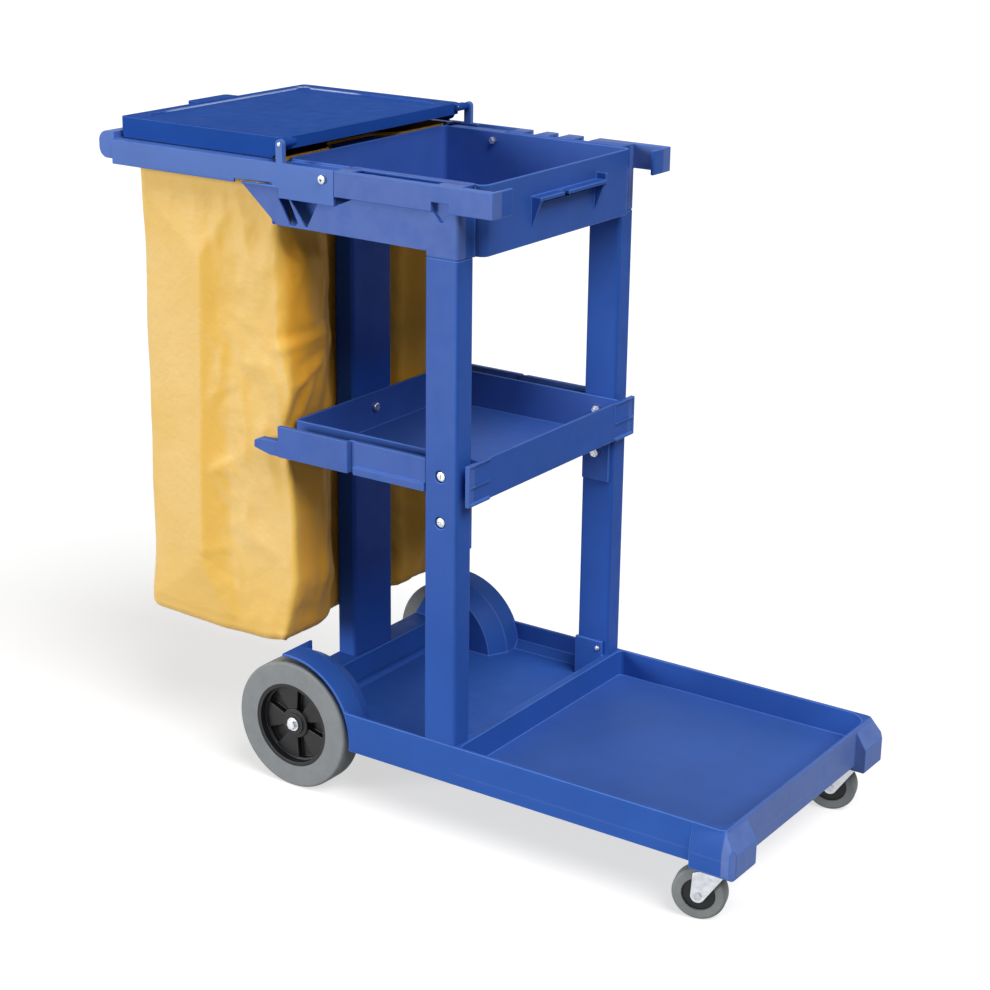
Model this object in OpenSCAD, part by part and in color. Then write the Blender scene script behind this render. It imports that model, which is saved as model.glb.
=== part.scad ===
// Janitor cart: a moulded deck on two large rear wheels and two swivel casters carries three hollow
// posts, a middle shelf and a top tray. A handle frame bolted to the tray holds the waste bag and
// the hinged bag lid. Millimetres, +X to the front, +Z up, origin on the floor under the middle.

/* [Deck] */
// Length of the deck, from its front wall to its rear end
deck_length = 791; // [760:1:860]
// Width of the deck across its side walls
deck_width = 450; // [430:1:500]
// Height of the deck's walls, from the skirt's lower edge to the rim
deck_height = 60; // [54:1:80]
// Depth of the two bays below the rim
bay_depth = 41; // [32:1:44]
// Thickness of the deck's outer walls
deck_wall = 5; // [4:0.5:7]
// Thickness of the deck's floor
deck_floor = 4; // [3:0.5:6]
// Length of the front bay, from the front wall to the divider
front_bay = 434; // [380:1:450]
// Thickness of the divider between the two bays
divider_wall = 12; // [8:1:16]
// Depth of the hollow ledge under the rear post
rear_ledge = 41; // [39:1:45]
// Radius of the front bay's two front corners
bay_corner_r = 34; // [12:1:40]
// Thickness of the ribs under the deck
under_rib = 4; // [3:0.5:6]

/* [Caster blocks] */
// How far each corner block stands out in front of the front wall
block_front_out = 17; // [8:1:25]
// How far each corner block stands out past the side wall
block_side_out = 7; // [3:1:12]
// Length of a corner block along the cart
block_length = 69; // [66:1:90]
// Width of a corner block across the cart
block_width = 64; // [63:1:90]
// Height of the bevel round the top of a corner block
block_bevel = 30; // [15:1:40]
// Chamfer along the lower edges of a corner block
block_chamfer = 3; // [1:0.5:3.5]
// Chamfer of the outer upright edge of a corner block
block_corner = 7; // [4:1:16]

/* [Rear wheels] */
// Diameter of a rear wheel
wheel_d = 200; // [180:1:220]
// Width of a rear tyre
wheel_w = 42; // [36:1:46]
// Diameter of a rear wheel's hub, where the tyre sits
hub_d = 132; // [110:1:150]
// Diameter of the steel rear axle
axle_d = 12; // [10:1:14]
// Distance from the deck's rear end to the axle
axle_from_rear = 50; // [46:1:60]
// How far the axle lies above the skirt's lower edge
axle_above_skirt = 13; // [11:1:16]
// Gap between the tyre and the wheel arch
arch_gap = 9; // [6:1:14]
// Thickness of the wheel arch and of its inner wall
arch_wall = 4; // [3:0.5:6]
// Width of a wheel well, from the deck's side to its inner wall
well_width = 64; // [58:1:72]

/* [Casters] */
// Diameter of a caster wheel
caster_d = 76; // [65:1:80]
// Width of a caster tyre
caster_w = 24; // [20:1:26]
// Distance from the swivel axis to the caster's axle
caster_trail = 28; // [16:1:32]
// Angle that the casters are turned to at rest
caster_turn = 16; // [-180:0.1:180]
// Diameter of a caster's axle bolt
caster_axle_d = 8; // [6:0.5:10]
// Diameter of a caster's stem in the deck
stem_d = 11; // [8:0.5:14]
// Thickness of the fork's steel
fork_steel = 2.5; // [2:0.5:3.5]

/* [Posts] */
// Length of the posts from the deck's rim to the tray
post_length = 704; // [600:1:800]
// Size of a front post along the cart
post_depth = 55; // [46:1:60]
// Size of a front post across the cart
post_width = 38; // [34:1:46]
// Size of the rear post along the cart
rear_post_depth = 35; // [32:1:38]
// Size of the rear post across the cart
rear_post_width = 96; // [70:1:120]
// Wall of the hollow posts
post_wall = 3.5; // [3:0.5:5]
// Radius of the posts' upright edges
post_edge_r = 6; // [4:0.5:8]
// Length of the spigots that the posts sit on
spigot_length = 40; // [20:1:60]

/* [Shelf] */
// Height of the shelf's underside above the deck's rim
shelf_rise = 361; // [300:1:420]
// Height of the shelf's walls
shelf_height = 60; // [54:1:80]
// Thickness of the shelf's walls and floor
shelf_wall = 4; // [3:0.5:5]
// How far the shelf's front wall stands in front of the posts
shelf_reach = 14; // [8:1:20]
// Length of the stepped tips behind the shelf's side arms
shelf_tip = 46; // [20:1:60]

/* [Tray] */
// Height of the tray's walls
tray_height = 97; // [90:1:130]
// Thickness of the tray's walls and floor
tray_wall = 4; // [3:0.5:5]
// How far the tray's front wall stands in front of the posts
tray_reach = 16; // [12:1:24]
// How far the side rails run on in front of the tray
rail_reach = 41; // [30:1:60]
// Height of the side rails
rail_height = 36; // [30:1:44]
// Width of the flange that turns inwards at each rail's front end
rail_flange = 48; // [30:1:60]
// How far the gusset under each handle arm runs behind the tray
gusset_reach = 51; // [20:1:60]

/* [Handle frame] */
// Distance from the deck's rear end to the back of the handle
handle_reach = 297; // [270:1:360]
// Size of the handle's grip along the cart
handle_depth = 31; // [28:1:40]
// Height of the handle's grip
handle_height = 40; // [36:1:48]
// Thickness of the handle frame's walls
frame_wall = 4; // [3:0.5:5]
// Width of a handle arm
arm_width = 26; // [22:1:32]
// How far the handle arms lap over the tray's sides
arm_lap = 117; // [105:1:130]

/* [Lid] */
// Height of the lid
lid_height = 30; // [27:1:34]
// Thickness of the lid
lid_wall = 3.5; // [2.5:0.5:5]
// Gap between the lid and the handle frame
lid_gap = 1.5; // [1:0.5:4]
// Diameter of the hinge pins
hinge_pin_d = 6; // [5:0.5:8]
// Width of the finger tab at the lid's rear edge
lid_tab_width = 90; // [60:1:160]

/* [Bag] */
// Depth of the bag below the handle frame's top
bag_depth = 735; // [600:1:740]
// Thickness of the bag's sheet, with its lining
bag_wall = 2.5; // [2:0.5:4]
// Height of the hem round the bag's mouth
bag_hem = 30; // [20:1:40]
// Radius of the bag's upright edges
bag_edge_r = 26; // [15:1:40]

/* [Fasteners] */
// Diameter of the shelf bolts
shelf_bolt_d = 8; // [6:1:8]
// Diameter of the handle bolts
handle_bolt_d = 6; // [5:1:8]

/* [Fits] */
// Gap between pieces that sit side by side
seat_gap = 0.3; // [0.2:0.05:0.5]
// Clearance on the radius of a shaft that turns in its bore
running_gap = 0.05; // [0.02:0.01:0.1]
// Clearance on the radius of a bolt in its hole
bolt_gap = 0.2; // [0.1:0.05:0.4]

/* [Hidden] */
$fn = 48;

left = 1;
right = -1;
sides = [left, right];
cut = 1;

moulded_blue = [0.16, 0.27, 0.62];
tyre_grey = [0.55, 0.57, 0.58];
hub_black = [0.06, 0.06, 0.07];
zinc = [0.82, 0.83, 0.85];
steel = [0.66, 0.67, 0.70];
bag_yellow = [0.92, 0.72, 0.30];

// Heights
axle_z = wheel_d / 2;
deck_bottom_z = axle_z - axle_above_skirt;
deck_rim_z = deck_bottom_z + deck_height;
floor_z = deck_rim_z - bay_depth;
under_floor_z = floor_z - deck_floor;
post_top_z = deck_rim_z + post_length;
shelf_bottom_z = deck_rim_z + shelf_rise;
shelf_rim_z = shelf_bottom_z + shelf_height;
tray_bottom_z = post_top_z + 1;
tray_rim_z = tray_bottom_z + tray_height;
rail_top_z = tray_rim_z + 1;
rail_bottom_z = rail_top_z - rail_height;
wing_top_z = rail_top_z - frame_wall - 1;
lid_bottom_z = rail_top_z + lid_gap;
lid_top_z = lid_bottom_z + lid_height;

// Places along the cart
front_x = (deck_length + handle_reach - block_front_out) / 2;
deck_rear_x = front_x - deck_length;
axle_x = deck_rear_x + axle_from_rear;
ledge_front_x = deck_rear_x + rear_ledge;
divider_x = front_x - front_bay;
post_front_x = divider_x - divider_wall / 2;
post_rear_x = post_front_x - post_depth;
post_mid_x = post_front_x - post_depth / 2;
rear_post_front_x = deck_rear_x + rear_post_depth;
shelf_front_x = post_front_x + shelf_reach;
tray_front_x = post_front_x + tray_reach;
tray_rear_x = rear_post_front_x - tray_wall - 2;
rail_front_x = tray_front_x + rail_reach;
arm_front_x = tray_rear_x + arm_lap;
gusset_rear_x = tray_rear_x - gusset_reach;
frame_front_x = tray_rear_x - frame_wall;
handle_rear_x = deck_rear_x - handle_reach;
frame_rear_x = handle_rear_x + handle_depth;

// Places across the cart, on the left side
deck_side_y = deck_width / 2;
well_face_y = deck_side_y - well_width;
well_inner_y = well_face_y - arch_wall;
post_inner_y = deck_side_y - post_width;
post_mid_y = deck_side_y - post_width / 2;
skirt_wall = 4;
skirt_y = deck_side_y - skirt_wall;
arm_inside_y = deck_side_y + seat_gap;
arm_outside_y = arm_inside_y + frame_wall;
frame_inner_y = arm_outside_y - arm_width;

// Wheel arch
arch_inner_r = wheel_d / 2 + arch_gap;
arch_outer_r = arch_inner_r + arch_wall;
fender_past_top = 16;
fender_rear_x = axle_x - fender_past_top;
fender_rear_z = axle_z + sqrt(pow(arch_outer_r, 2) - pow(fender_past_top, 2));
arch_drop = 16;
arch_shoulder_y = well_inner_y + 0.47 * (deck_side_y - well_inner_y);
tunnel_r = axle_d / 2 + 5;

// Rear wheel
wheel_face_y = deck_side_y + 1;
wheel_mid_y = wheel_face_y - wheel_w / 2;
washer_t = 2;
washer_r = axle_d / 2 + 4.5;
barrel_r = axle_d / 2 + 11;
barrel_low_y = well_face_y + washer_t + seat_gap;
barrel_high_y = wheel_face_y - 6;
screw_head_t = 5;
spoke_count = 5;

// Corner blocks and casters
block_front_x = front_x + block_front_out;
block_rear_x = block_front_x - block_length;
block_side_y = deck_side_y + block_side_out;
block_inner_y = block_side_y - block_width;
block_bottom_z = caster_d + 2.5;
caster_x = block_front_x - block_length / 2;
caster_y = block_side_y - block_width / 2;
caster_space_r = min(block_length, block_width) / 2 - 4;
crown_r = 22;
crown_gap = 14;
crown_low_z = caster_d + crown_gap;
crown_high_z = crown_low_z + 3;
race_low_z = crown_high_z + seat_gap;
race_high_z = race_low_z + 4;
stem_length = 30;
kingpin_r = 4;
rivet_r = 8;
rivet_t = 3;
caster_axle_z = caster_d / 2;
caster_hub_r = 24;
fork_inner = caster_w / 2 + 2;
fork_outer = fork_inner + fork_steel;
fork_eye_r = 10;

// Shelf and its bolts
shelf_tab_t = 6;
shelf_tab_drop = 73;
upper_bolt_z = shelf_bottom_z + 39;
lower_bolt_z = shelf_bottom_z - 28;
bolt_recess_r = shelf_bolt_d / 2 + 5;
bolt_recess_depth = 6;
bolt_head_r = shelf_bolt_d / 2 + 2.8;
bolt_head_t = 4.5;
nut_t = 6;
rear_bolt_z = shelf_bottom_z + 36;

// Tray bolts
handle_bolt_x = arm_front_x - 19;
handle_bolt_z = rail_top_z - 14;
handle_head_r = handle_bolt_d / 2 + 3;
handle_head_t = 3.5;
arm_drop = 13;
arm_drop_length = 98;

// Lid hinge
lid_front_x = tray_rear_x + 15.5;
hinge_x = lid_front_x + 6;
knuckle_r = hinge_pin_d / 2 + 2;
hinge_z = lid_top_z - knuckle_r - 1;
ear_r = hinge_pin_d / 2 + 3.5;
ear_t = 8;
ear_inner_y = arm_outside_y - ear_t;
knuckle_outer_y = ear_inner_y - seat_gap;
knuckle_width = 26;
lid_rear_x = frame_rear_x + 1.5;
lid_side_y = arm_outside_y - 17.3;
lid_front_skirt = 17;

// Bag
bag_top_z = rail_top_z + 1;
bag_bottom_z = rail_top_z - bag_depth;
bag_side_y = frame_inner_y - seat_gap;
bag_rear_x = frame_rear_x + frame_wall + arm_width / 2 + seat_gap;
bag_front_x = frame_front_x;
bag_slack = 2.5;
bag_notch_x = deck_rear_x - 3;
bag_notch_y = rear_post_width / 2 + 4;

// Foot tabs that hold the front posts
foot_tab_t = 6;
foot_tab_rise = 24;
foot_screw_z = deck_rim_z + 12;
foot_screw_x = post_front_x - 13;

// Rectangle with round corners, centred
module rounded_rect(length, width, radius) {
    square([length - 2 * radius, width], center = true);
    square([length, width - 2 * radius], center = true);
    for (x = [-1, 1], y = [-1, 1])
        translate([x * (length / 2 - radius), y * (width / 2 - radius)]) circle(radius);
}

// Rectangle with round corners between two corners
module rounded_between(low, high, radius) {
    translate((low + high) / 2) rounded_rect(high[0] - low[0], high[1] - low[1], radius);
}

// Box between two corners
module box(low, high) {
    translate(low) cube(high - low);
}

// Outline in X and Z, extruded across the cart
module across(low, high) {
    translate([0, high, 0]) rotate([90, 0, 0]) linear_extrude(high - low) children();
}

// Outline in Y and Z, extruded along the cart
module lengthwise(low, high) {
    translate([low, 0, 0]) rotate([90, 0, 90]) linear_extrude(high - low) children();
}

// Outline in X and Y, extruded upwards
module upright(low, high) {
    translate([0, 0, low]) linear_extrude(high - low) children();
}

// Piece modelled on the left, mirrored for the right side
module on_side(side) {
    mirror([0, side == left ? 0 : 1, 0]) children();
}

// Round rod across the cart
module rod_across(x, z, radius, low, high) {
    across(low, high) translate([x, z]) circle(radius);
}

// Hexagon nut or head across the cart, by its width across flats
module hex_across(x, z, flats, low, high) {
    across(low, high) translate([x, z]) circle(flats / sqrt(3), $fn = 6);
}

// Spigot that fits inside a hollow post
module spigot(length, width, low, high) {
    inset = 2 * (post_wall + seat_gap);
    upright(low, high) rounded_rect(length - inset, width - inset, post_edge_r - post_wall);
}

// Deck

module deck_walls() {
    upright(deck_bottom_z, deck_rim_z) {
        rounded_between([axle_x, -deck_side_y], [front_x, deck_side_y], 10);
        translate([deck_rear_x, -well_face_y]) square([axle_from_rear + cut, 2 * well_face_y]);
    }
}

module front_bay_space() {
    inside_y = deck_side_y - deck_wall;
    upright(floor_z, deck_rim_z + cut) {
        rounded_between([divider_x, -inside_y], [front_x - deck_wall, inside_y], bay_corner_r);
        rounded_between([divider_x, -inside_y], [front_x - front_bay / 2, inside_y], 8);
    }
}

module rear_bay_space() {
    inside_y = deck_side_y - deck_wall;
    box([ledge_front_x, -inside_y, floor_z], [divider_x - divider_wall, inside_y, deck_rim_z + cut]);
}

// Open cells between the ribs under one stretch of floor
module under_cells(rear, front, columns, rows) {
    half = deck_side_y - deck_wall;
    pitch_x = (front - rear + under_rib) / columns;
    pitch_y = (2 * half + under_rib) / rows;
    for (i = [0 : columns - 1], j = [0 : rows - 1])
        translate([rear + i * pitch_x, -half + j * pitch_y, deck_bottom_z - cut])
            cube([pitch_x - under_rib, pitch_y - under_rib, under_floor_z - deck_bottom_z + cut]);
}

module ledge_space() {
    box([deck_rear_x + deck_wall, -well_inner_y + deck_wall, deck_bottom_z - cut],
        [ledge_front_x - deck_wall, well_inner_y - deck_wall, deck_rim_z - deck_floor]);
}

// Drum over a rear wheel that narrows from its shoulder to its inner end
module arch_drum(r, inner_y, outer_y) {
    rod_across(axle_x, axle_z, r, arch_shoulder_y - cut, outer_y);
    translate([axle_x, arch_shoulder_y, axle_z]) rotate([90, 0, 0])
        cylinder(r1 = r, r2 = r - arch_drop, h = arch_shoulder_y - inner_y);
}

// Arch over a rear wheel with its inner wall, which slopes down to the ledge behind the fender
module wheel_well() {
    intersection() {
        union() {
            arch_drum(arch_outer_r, well_inner_y, deck_side_y);
            intersection() {
                rod_across(axle_x, axle_z, arch_outer_r, well_inner_y, deck_side_y);
                box([fender_rear_x, well_inner_y, under_floor_z],
                    [fender_rear_x + arch_wall, deck_side_y, axle_z + arch_outer_r]);
            }
        }
        box([fender_rear_x, well_inner_y, under_floor_z],
            [axle_x + arch_outer_r, deck_side_y, axle_z + arch_outer_r]);
    }
    across(well_inner_y, well_face_y)
        polygon([
            [deck_rear_x, deck_bottom_z], [deck_rear_x, deck_rim_z],
            [fender_rear_x, fender_rear_z - arch_wall], [axle_x, axle_z], [axle_x, deck_bottom_z]
        ]);
}

module wheel_space() {
    arch_drum(arch_inner_r, well_face_y, deck_side_y + block_side_out);
}

// Sloped foot of the side wall between the wheel well and the front post
module bay_fillet() {
    inside_y = deck_side_y - deck_wall;
    size = 12;
    lengthwise(axle_x + arch_outer_r - arch_wall, post_rear_x)
        polygon([[inside_y - size, floor_z], [inside_y, floor_z], [inside_y, floor_z + size]]);
}

module post_foot() {
    box([post_rear_x, post_inner_y, deck_bottom_z], [post_front_x, deck_side_y, deck_rim_z]);
    translate([post_mid_x, post_mid_y, 0])
        spigot(post_depth, post_width, deck_rim_z - cut, deck_rim_z + spigot_length);
    box([post_rear_x, post_inner_y - foot_tab_t, under_floor_z],
        [post_front_x - divider_wall / 2, post_inner_y, deck_rim_z + foot_tab_rise]);
}

module post_foot_space() {
    box([post_rear_x + deck_wall, post_inner_y + deck_wall, deck_bottom_z - cut],
        [post_front_x - deck_wall, deck_side_y - deck_wall, under_floor_z]);
    rod_across(foot_screw_x, foot_screw_z, 2, post_inner_y - foot_tab_t - cut, post_mid_y);
}

module caster_block() {
    bevel_z = deck_rim_z - block_bevel;
    chamfer_z = block_bottom_z + block_chamfer;
    intersection() {
        across(block_inner_y, block_side_y)
            polygon([
                [block_rear_x, chamfer_z], [block_rear_x + block_chamfer, block_bottom_z],
                [block_front_x - block_chamfer, block_bottom_z], [block_front_x, chamfer_z],
                [block_front_x, bevel_z], [front_x - deck_wall / 2, deck_rim_z],
                [block_rear_x, deck_rim_z]
            ]);
        lengthwise(block_rear_x, block_front_x)
            polygon([
                [block_inner_y, chamfer_z], [block_inner_y + block_chamfer, block_bottom_z],
                [block_side_y - block_chamfer, block_bottom_z], [block_side_y, chamfer_z],
                [block_side_y, bevel_z], [deck_side_y - deck_wall / 2, deck_rim_z],
                [block_inner_y, deck_rim_z]
            ]);
        upright(block_bottom_z, deck_rim_z)
            polygon([
                [block_rear_x, block_inner_y], [block_front_x, block_inner_y],
                [block_front_x, block_side_y - block_corner],
                [block_front_x - block_corner, block_side_y], [block_rear_x, block_side_y]
            ]);
    }
}

module caster_space() {
    translate([caster_x, caster_y, 0]) {
        translate([0, 0, block_bottom_z - cut])
            cylinder(r = caster_space_r, h = race_high_z - block_bottom_z + cut);
        translate([0, 0, race_high_z - cut]) cylinder(d = stem_d, h = stem_length + cut);
    }
}

module base_deck() {
    color(moulded_blue) difference() {
        union() {
            difference() {
                deck_walls();
                under_cells(divider_x + deck_wall, front_x - deck_wall, 4, 4);
                under_cells(ledge_front_x + deck_wall, divider_x - divider_wall - deck_wall, 3, 4);
                ledge_space();
            }
            for (side = sides) on_side(side) caster_block();
            rod_across(axle_x, axle_z, tunnel_r, -well_face_y, well_face_y);
        }
        front_bay_space();
        difference() {
            rear_bay_space();
            rod_across(axle_x, axle_z, tunnel_r, -well_face_y, well_face_y);
            for (side = sides) on_side(side) {
                wheel_well();
                bay_fillet();
                post_foot();
            }
        }
        for (side = sides) on_side(side) {
            wheel_space();
            caster_space();
        }
        rod_across(axle_x, axle_z, axle_d / 2 + running_gap, -deck_side_y, deck_side_y);
    }
    color(moulded_blue) {
        for (side = sides) on_side(side) difference() {
            union() {
                wheel_well();
                post_foot();
            }
            wheel_space();
            post_foot_space();
            rod_across(axle_x, axle_z, axle_d / 2 + running_gap, -deck_side_y, deck_side_y);
        }
        translate([deck_rear_x + rear_post_depth / 2, 0, 0])
            spigot(rear_post_depth, rear_post_width, deck_rim_z - cut, deck_rim_z + spigot_length);
    }
}

// Posts

module post_tube(depth, width) {
    upright(deck_rim_z, post_top_z) difference() {
        rounded_rect(depth, width, post_edge_r);
        rounded_rect(depth - 2 * post_wall, width - 2 * post_wall, post_edge_r - post_wall);
    }
}

module front_post(side) {
    color(moulded_blue) on_side(side) difference() {
        union() {
            translate([post_mid_x, post_mid_y, 0]) post_tube(post_depth, post_width);
            for (z = [upper_bolt_z, lower_bolt_z])
                rod_across(post_mid_x, z, bolt_recess_r + 3, post_inner_y + cut, deck_side_y - cut);
        }
        for (z = [upper_bolt_z, lower_bolt_z]) {
            rod_across(post_mid_x, z, shelf_bolt_d / 2 + bolt_gap, post_inner_y - cut, deck_side_y + cut);
            rod_across(post_mid_x, z, bolt_recess_r, deck_side_y - bolt_recess_depth, deck_side_y + cut);
        }
        rod_across(foot_screw_x, foot_screw_z, 2, post_inner_y - cut, post_inner_y + post_wall + cut);
    }
}

module rear_post() {
    boss_r = shelf_bolt_d / 2 + 6;
    color(moulded_blue) difference() {
        union() {
            translate([deck_rear_x + rear_post_depth / 2, 0, 0])
                post_tube(rear_post_depth, rear_post_width);
            lengthwise(deck_rear_x + cut, rear_post_front_x - cut)
                translate([0, rear_bolt_z]) circle(boss_r);
        }
        lengthwise(deck_rear_x + post_wall, rear_post_front_x + cut)
            translate([0, rear_bolt_z]) circle(shelf_bolt_d / 2 + bolt_gap);
    }
}

// Shelf

shelf_arm_rear_x = rear_post_front_x - 1;
shelf_groove_x = rear_post_front_x + 0.483 * (post_rear_x - rear_post_front_x);
shelf_groove_w = 10;
shelf_arm_low_z = shelf_bottom_z + 12;
shelf_arm_high_z = shelf_rim_z - 1;

// Side arm: a tall rear plate with a low stepped tip, then a recessed plate over a lower flange
module shelf_arm() {
    plate_t = 8;
    across(deck_side_y - plate_t, deck_side_y)
        polygon([
            [shelf_arm_rear_x, shelf_arm_low_z], [shelf_groove_x, shelf_arm_low_z],
            [shelf_groove_x, shelf_arm_high_z], [shelf_arm_rear_x, shelf_arm_high_z]
        ]);
    across(deck_side_y - 2 * plate_t, deck_side_y - plate_t / 4)
        polygon([
            [shelf_arm_rear_x - shelf_tip, shelf_arm_low_z + 7],
            [shelf_arm_rear_x - shelf_tip * 0.35, shelf_arm_low_z],
            [shelf_arm_rear_x + plate_t, shelf_arm_low_z],
            [shelf_arm_rear_x + plate_t, shelf_arm_low_z + 24],
            [shelf_arm_rear_x - shelf_tip * 0.8, shelf_arm_low_z + 22],
            [shelf_arm_rear_x - shelf_tip, shelf_arm_low_z + 18]
        ]);
    box([shelf_groove_x - cut, deck_side_y - 1.5 * plate_t, shelf_arm_low_z],
        [post_rear_x - seat_gap, deck_side_y - plate_t + cut / 2, shelf_rim_z]);
    box([shelf_groove_x + shelf_groove_w, deck_side_y - plate_t, shelf_arm_low_z + 4],
        [post_rear_x - seat_gap, deck_side_y - plate_t / 2, shelf_rim_z]);
    box([shelf_groove_x + shelf_groove_w, deck_side_y - plate_t, shelf_arm_low_z],
        [post_rear_x - seat_gap, deck_side_y, shelf_arm_low_z + 12]);
    box([rear_post_front_x, post_inner_y - shelf_wall / 2, shelf_arm_low_z],
        [post_rear_x - seat_gap, deck_side_y - plate_t, shelf_arm_low_z + shelf_wall]);
}

// Panel that carries the front wall past a post, with a framed recess in its lower half
module shelf_end_panel() {
    inner_y = post_inner_y - 20;
    outer_y = deck_side_y - 6;
    border = 4;
    proud = 3;
    difference() {
        box([shelf_front_x - shelf_wall, inner_y, shelf_bottom_z],
            [shelf_front_x + proud, outer_y, shelf_rim_z]);
        box([shelf_front_x, inner_y - cut, shelf_bottom_z + border],
            [shelf_front_x + proud + cut, outer_y - border, shelf_bottom_z + shelf_height / 2 - border]);
        box([shelf_front_x + proud / 2, inner_y - cut, shelf_bottom_z + shelf_height / 2],
            [shelf_front_x + proud + cut, outer_y - border, shelf_rim_z - border]);
    }
}

module shelf_basin() {
    difference() {
        upright(shelf_bottom_z, shelf_rim_z)
            rounded_between([rear_post_front_x, -post_inner_y], [shelf_front_x, post_inner_y], 8);
        upright(shelf_bottom_z + shelf_wall, shelf_rim_z + cut)
            rounded_between([rear_post_front_x + shelf_wall, -post_inner_y + shelf_wall],
                [shelf_front_x - shelf_wall, post_inner_y - shelf_wall], 6);
    }
}

module mid_shelf() {
    tab_inset = 4;
    color(moulded_blue) difference() {
        union() {
            shelf_basin();
            for (side = sides) on_side(side) {
                shelf_arm();
                shelf_end_panel();
                box([post_rear_x + tab_inset, post_inner_y - shelf_tab_t, shelf_bottom_z - shelf_tab_drop],
                    [post_front_x - tab_inset, post_inner_y, shelf_bottom_z + cut]);
            }
        }
        for (side = sides) on_side(side)
            for (z = [upper_bolt_z, lower_bolt_z])
                rod_across(post_mid_x, z, shelf_bolt_d / 2 + bolt_gap,
                    post_inner_y - shelf_tab_t - cut, post_inner_y + cut);
        lengthwise(rear_post_front_x - cut, rear_post_front_x + shelf_wall + cut)
            translate([0, rear_bolt_z]) circle(shelf_bolt_d / 2 + bolt_gap);
    }
}

// Tray

module tray_basin() {
    difference() {
        upright(tray_bottom_z, tray_rim_z)
            rounded_between([tray_rear_x, -post_inner_y], [tray_front_x, post_inner_y], 12);
        upright(tray_bottom_z + tray_wall, tray_rim_z + cut)
            rounded_between([tray_rear_x + tray_wall, -post_inner_y + tray_wall],
                [tray_front_x - tray_wall, post_inner_y - tray_wall], 9);
    }
}

module tray_leg() {
    upright(post_top_z + leg_seam, rail_bottom_z + cut)
        rounded_between([post_rear_x, post_inner_y - post_edge_r], [post_front_x, deck_side_y],
            post_edge_r);
    upright(post_top_z, post_top_z + leg_seam + cut)
        rounded_between([post_rear_x + leg_seam, post_inner_y - post_edge_r + leg_seam],
            [post_front_x - leg_seam, deck_side_y - leg_seam], post_edge_r - leg_seam);
    translate([post_mid_x, post_mid_y, 0])
        spigot(post_depth, post_width, post_top_z - spigot_length, post_top_z + cut);
}

leg_seam = 1.5;
skirt_low_z = tray_bottom_z + 9;
gusset_top_z = rail_bottom_z - arm_drop - seat_gap;
slot_low_z = rail_bottom_z - seat_gap;

// Side skirt between the leg and the gusset, which slopes up behind the tray
module tray_skirt() {
    rise = slot_low_z - skirt_low_z;
    across(skirt_y, deck_side_y) difference() {
        polygon([
            [gusset_rear_x, slot_low_z], [gusset_rear_x + gusset_reach / 4, slot_low_z - rise / 5],
            [tray_rear_x + 0.1 * arm_lap, skirt_low_z], [post_rear_x + post_edge_r, skirt_low_z],
            [post_rear_x + post_edge_r, wing_top_z], [tray_rear_x, wing_top_z],
            [tray_rear_x, slot_low_z]
        ]);
        polygon([
            [tray_rear_x + 0.14 * arm_lap, gusset_top_z - 1],
            [tray_rear_x + 0.29 * arm_lap, gusset_top_z - 1],
            [tray_rear_x + 0.42 * arm_lap, skirt_low_z + 8],
            [tray_rear_x + 0.38 * arm_lap, skirt_low_z + 3],
            [tray_rear_x + 0.3 * arm_lap, skirt_low_z + 3]
        ]);
        polygon([
            [tray_rear_x + 0.325 * arm_lap, gusset_top_z - 1],
            [tray_rear_x + 0.72 * arm_lap, gusset_top_z - 1],
            [tray_rear_x + 0.565 * arm_lap, skirt_low_z + 4],
            [tray_rear_x + 0.53 * arm_lap, skirt_low_z + 4]
        ]);
        polygon([
            [arm_front_x, rail_bottom_z + 3], [arm_front_x + 33, rail_bottom_z + 1],
            [arm_front_x, gusset_top_z + 1]
        ]);
    }
    box([tray_rear_x, post_inner_y - cut, skirt_low_z],
        [tray_rear_x + tray_wall, skirt_y + cut, wing_top_z]);
    box([tray_rear_x, post_inner_y - cut, wing_top_z - tray_wall],
        [post_rear_x + post_edge_r, skirt_y + cut, wing_top_z]);
}

// Side rail in front of the handle arm, with its flange turned inwards at the front end
module tray_rail() {
    bar_t = 12;
    box([arm_front_x, skirt_y, rail_bottom_z], [post_front_x, arm_outside_y, rail_top_z]);
    box([arm_front_x, post_inner_y - tray_wall / 2, rail_top_z - tray_wall],
        [post_front_x, arm_outside_y, rail_top_z]);
    box([post_front_x - cut, arm_outside_y - bar_t, rail_bottom_z],
        [rail_front_x, arm_outside_y, rail_top_z]);
    upright(rail_bottom_z, rail_top_z)
        rounded_between([rail_front_x - tray_wall - 2, arm_outside_y - rail_flange],
            [rail_front_x, arm_outside_y], 2.5);
    box([post_rear_x + post_edge_r, post_inner_y - cut, rail_bottom_z - cut],
        [post_front_x, skirt_y + cut, rail_top_z - cut]);
}

// Tool notches through the left rail, each with one upright and one sloped side
module rail_notches() {
    depth = rail_height / 4;
    run = post_rear_x - arm_front_x;
    starts = [0.153, 0.453, 0.753];
    widths = [0.133, 0.1, 0.16];
    across(post_inner_y + 8, arm_outside_y + cut)
        for (i = [0 : len(starts) - 1]) {
            rear = arm_front_x + starts[i] * run;
            front = rear + widths[i] * run;
            polygon([
                [rear, rail_top_z + cut], [rear, rail_top_z - depth],
                [front - depth / 2, rail_top_z - depth], [front + depth / 2, rail_top_z + cut]
            ]);
        }
}

// Long trough in the top of the right rail
module rail_trough() {
    run = post_rear_x - arm_front_x;
    box([arm_front_x + 0.153 * run, post_inner_y + 10, rail_top_z - 2 * tray_wall],
        [post_rear_x + 0.107 * run, skirt_y - 1, rail_top_z + cut]);
}

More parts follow.
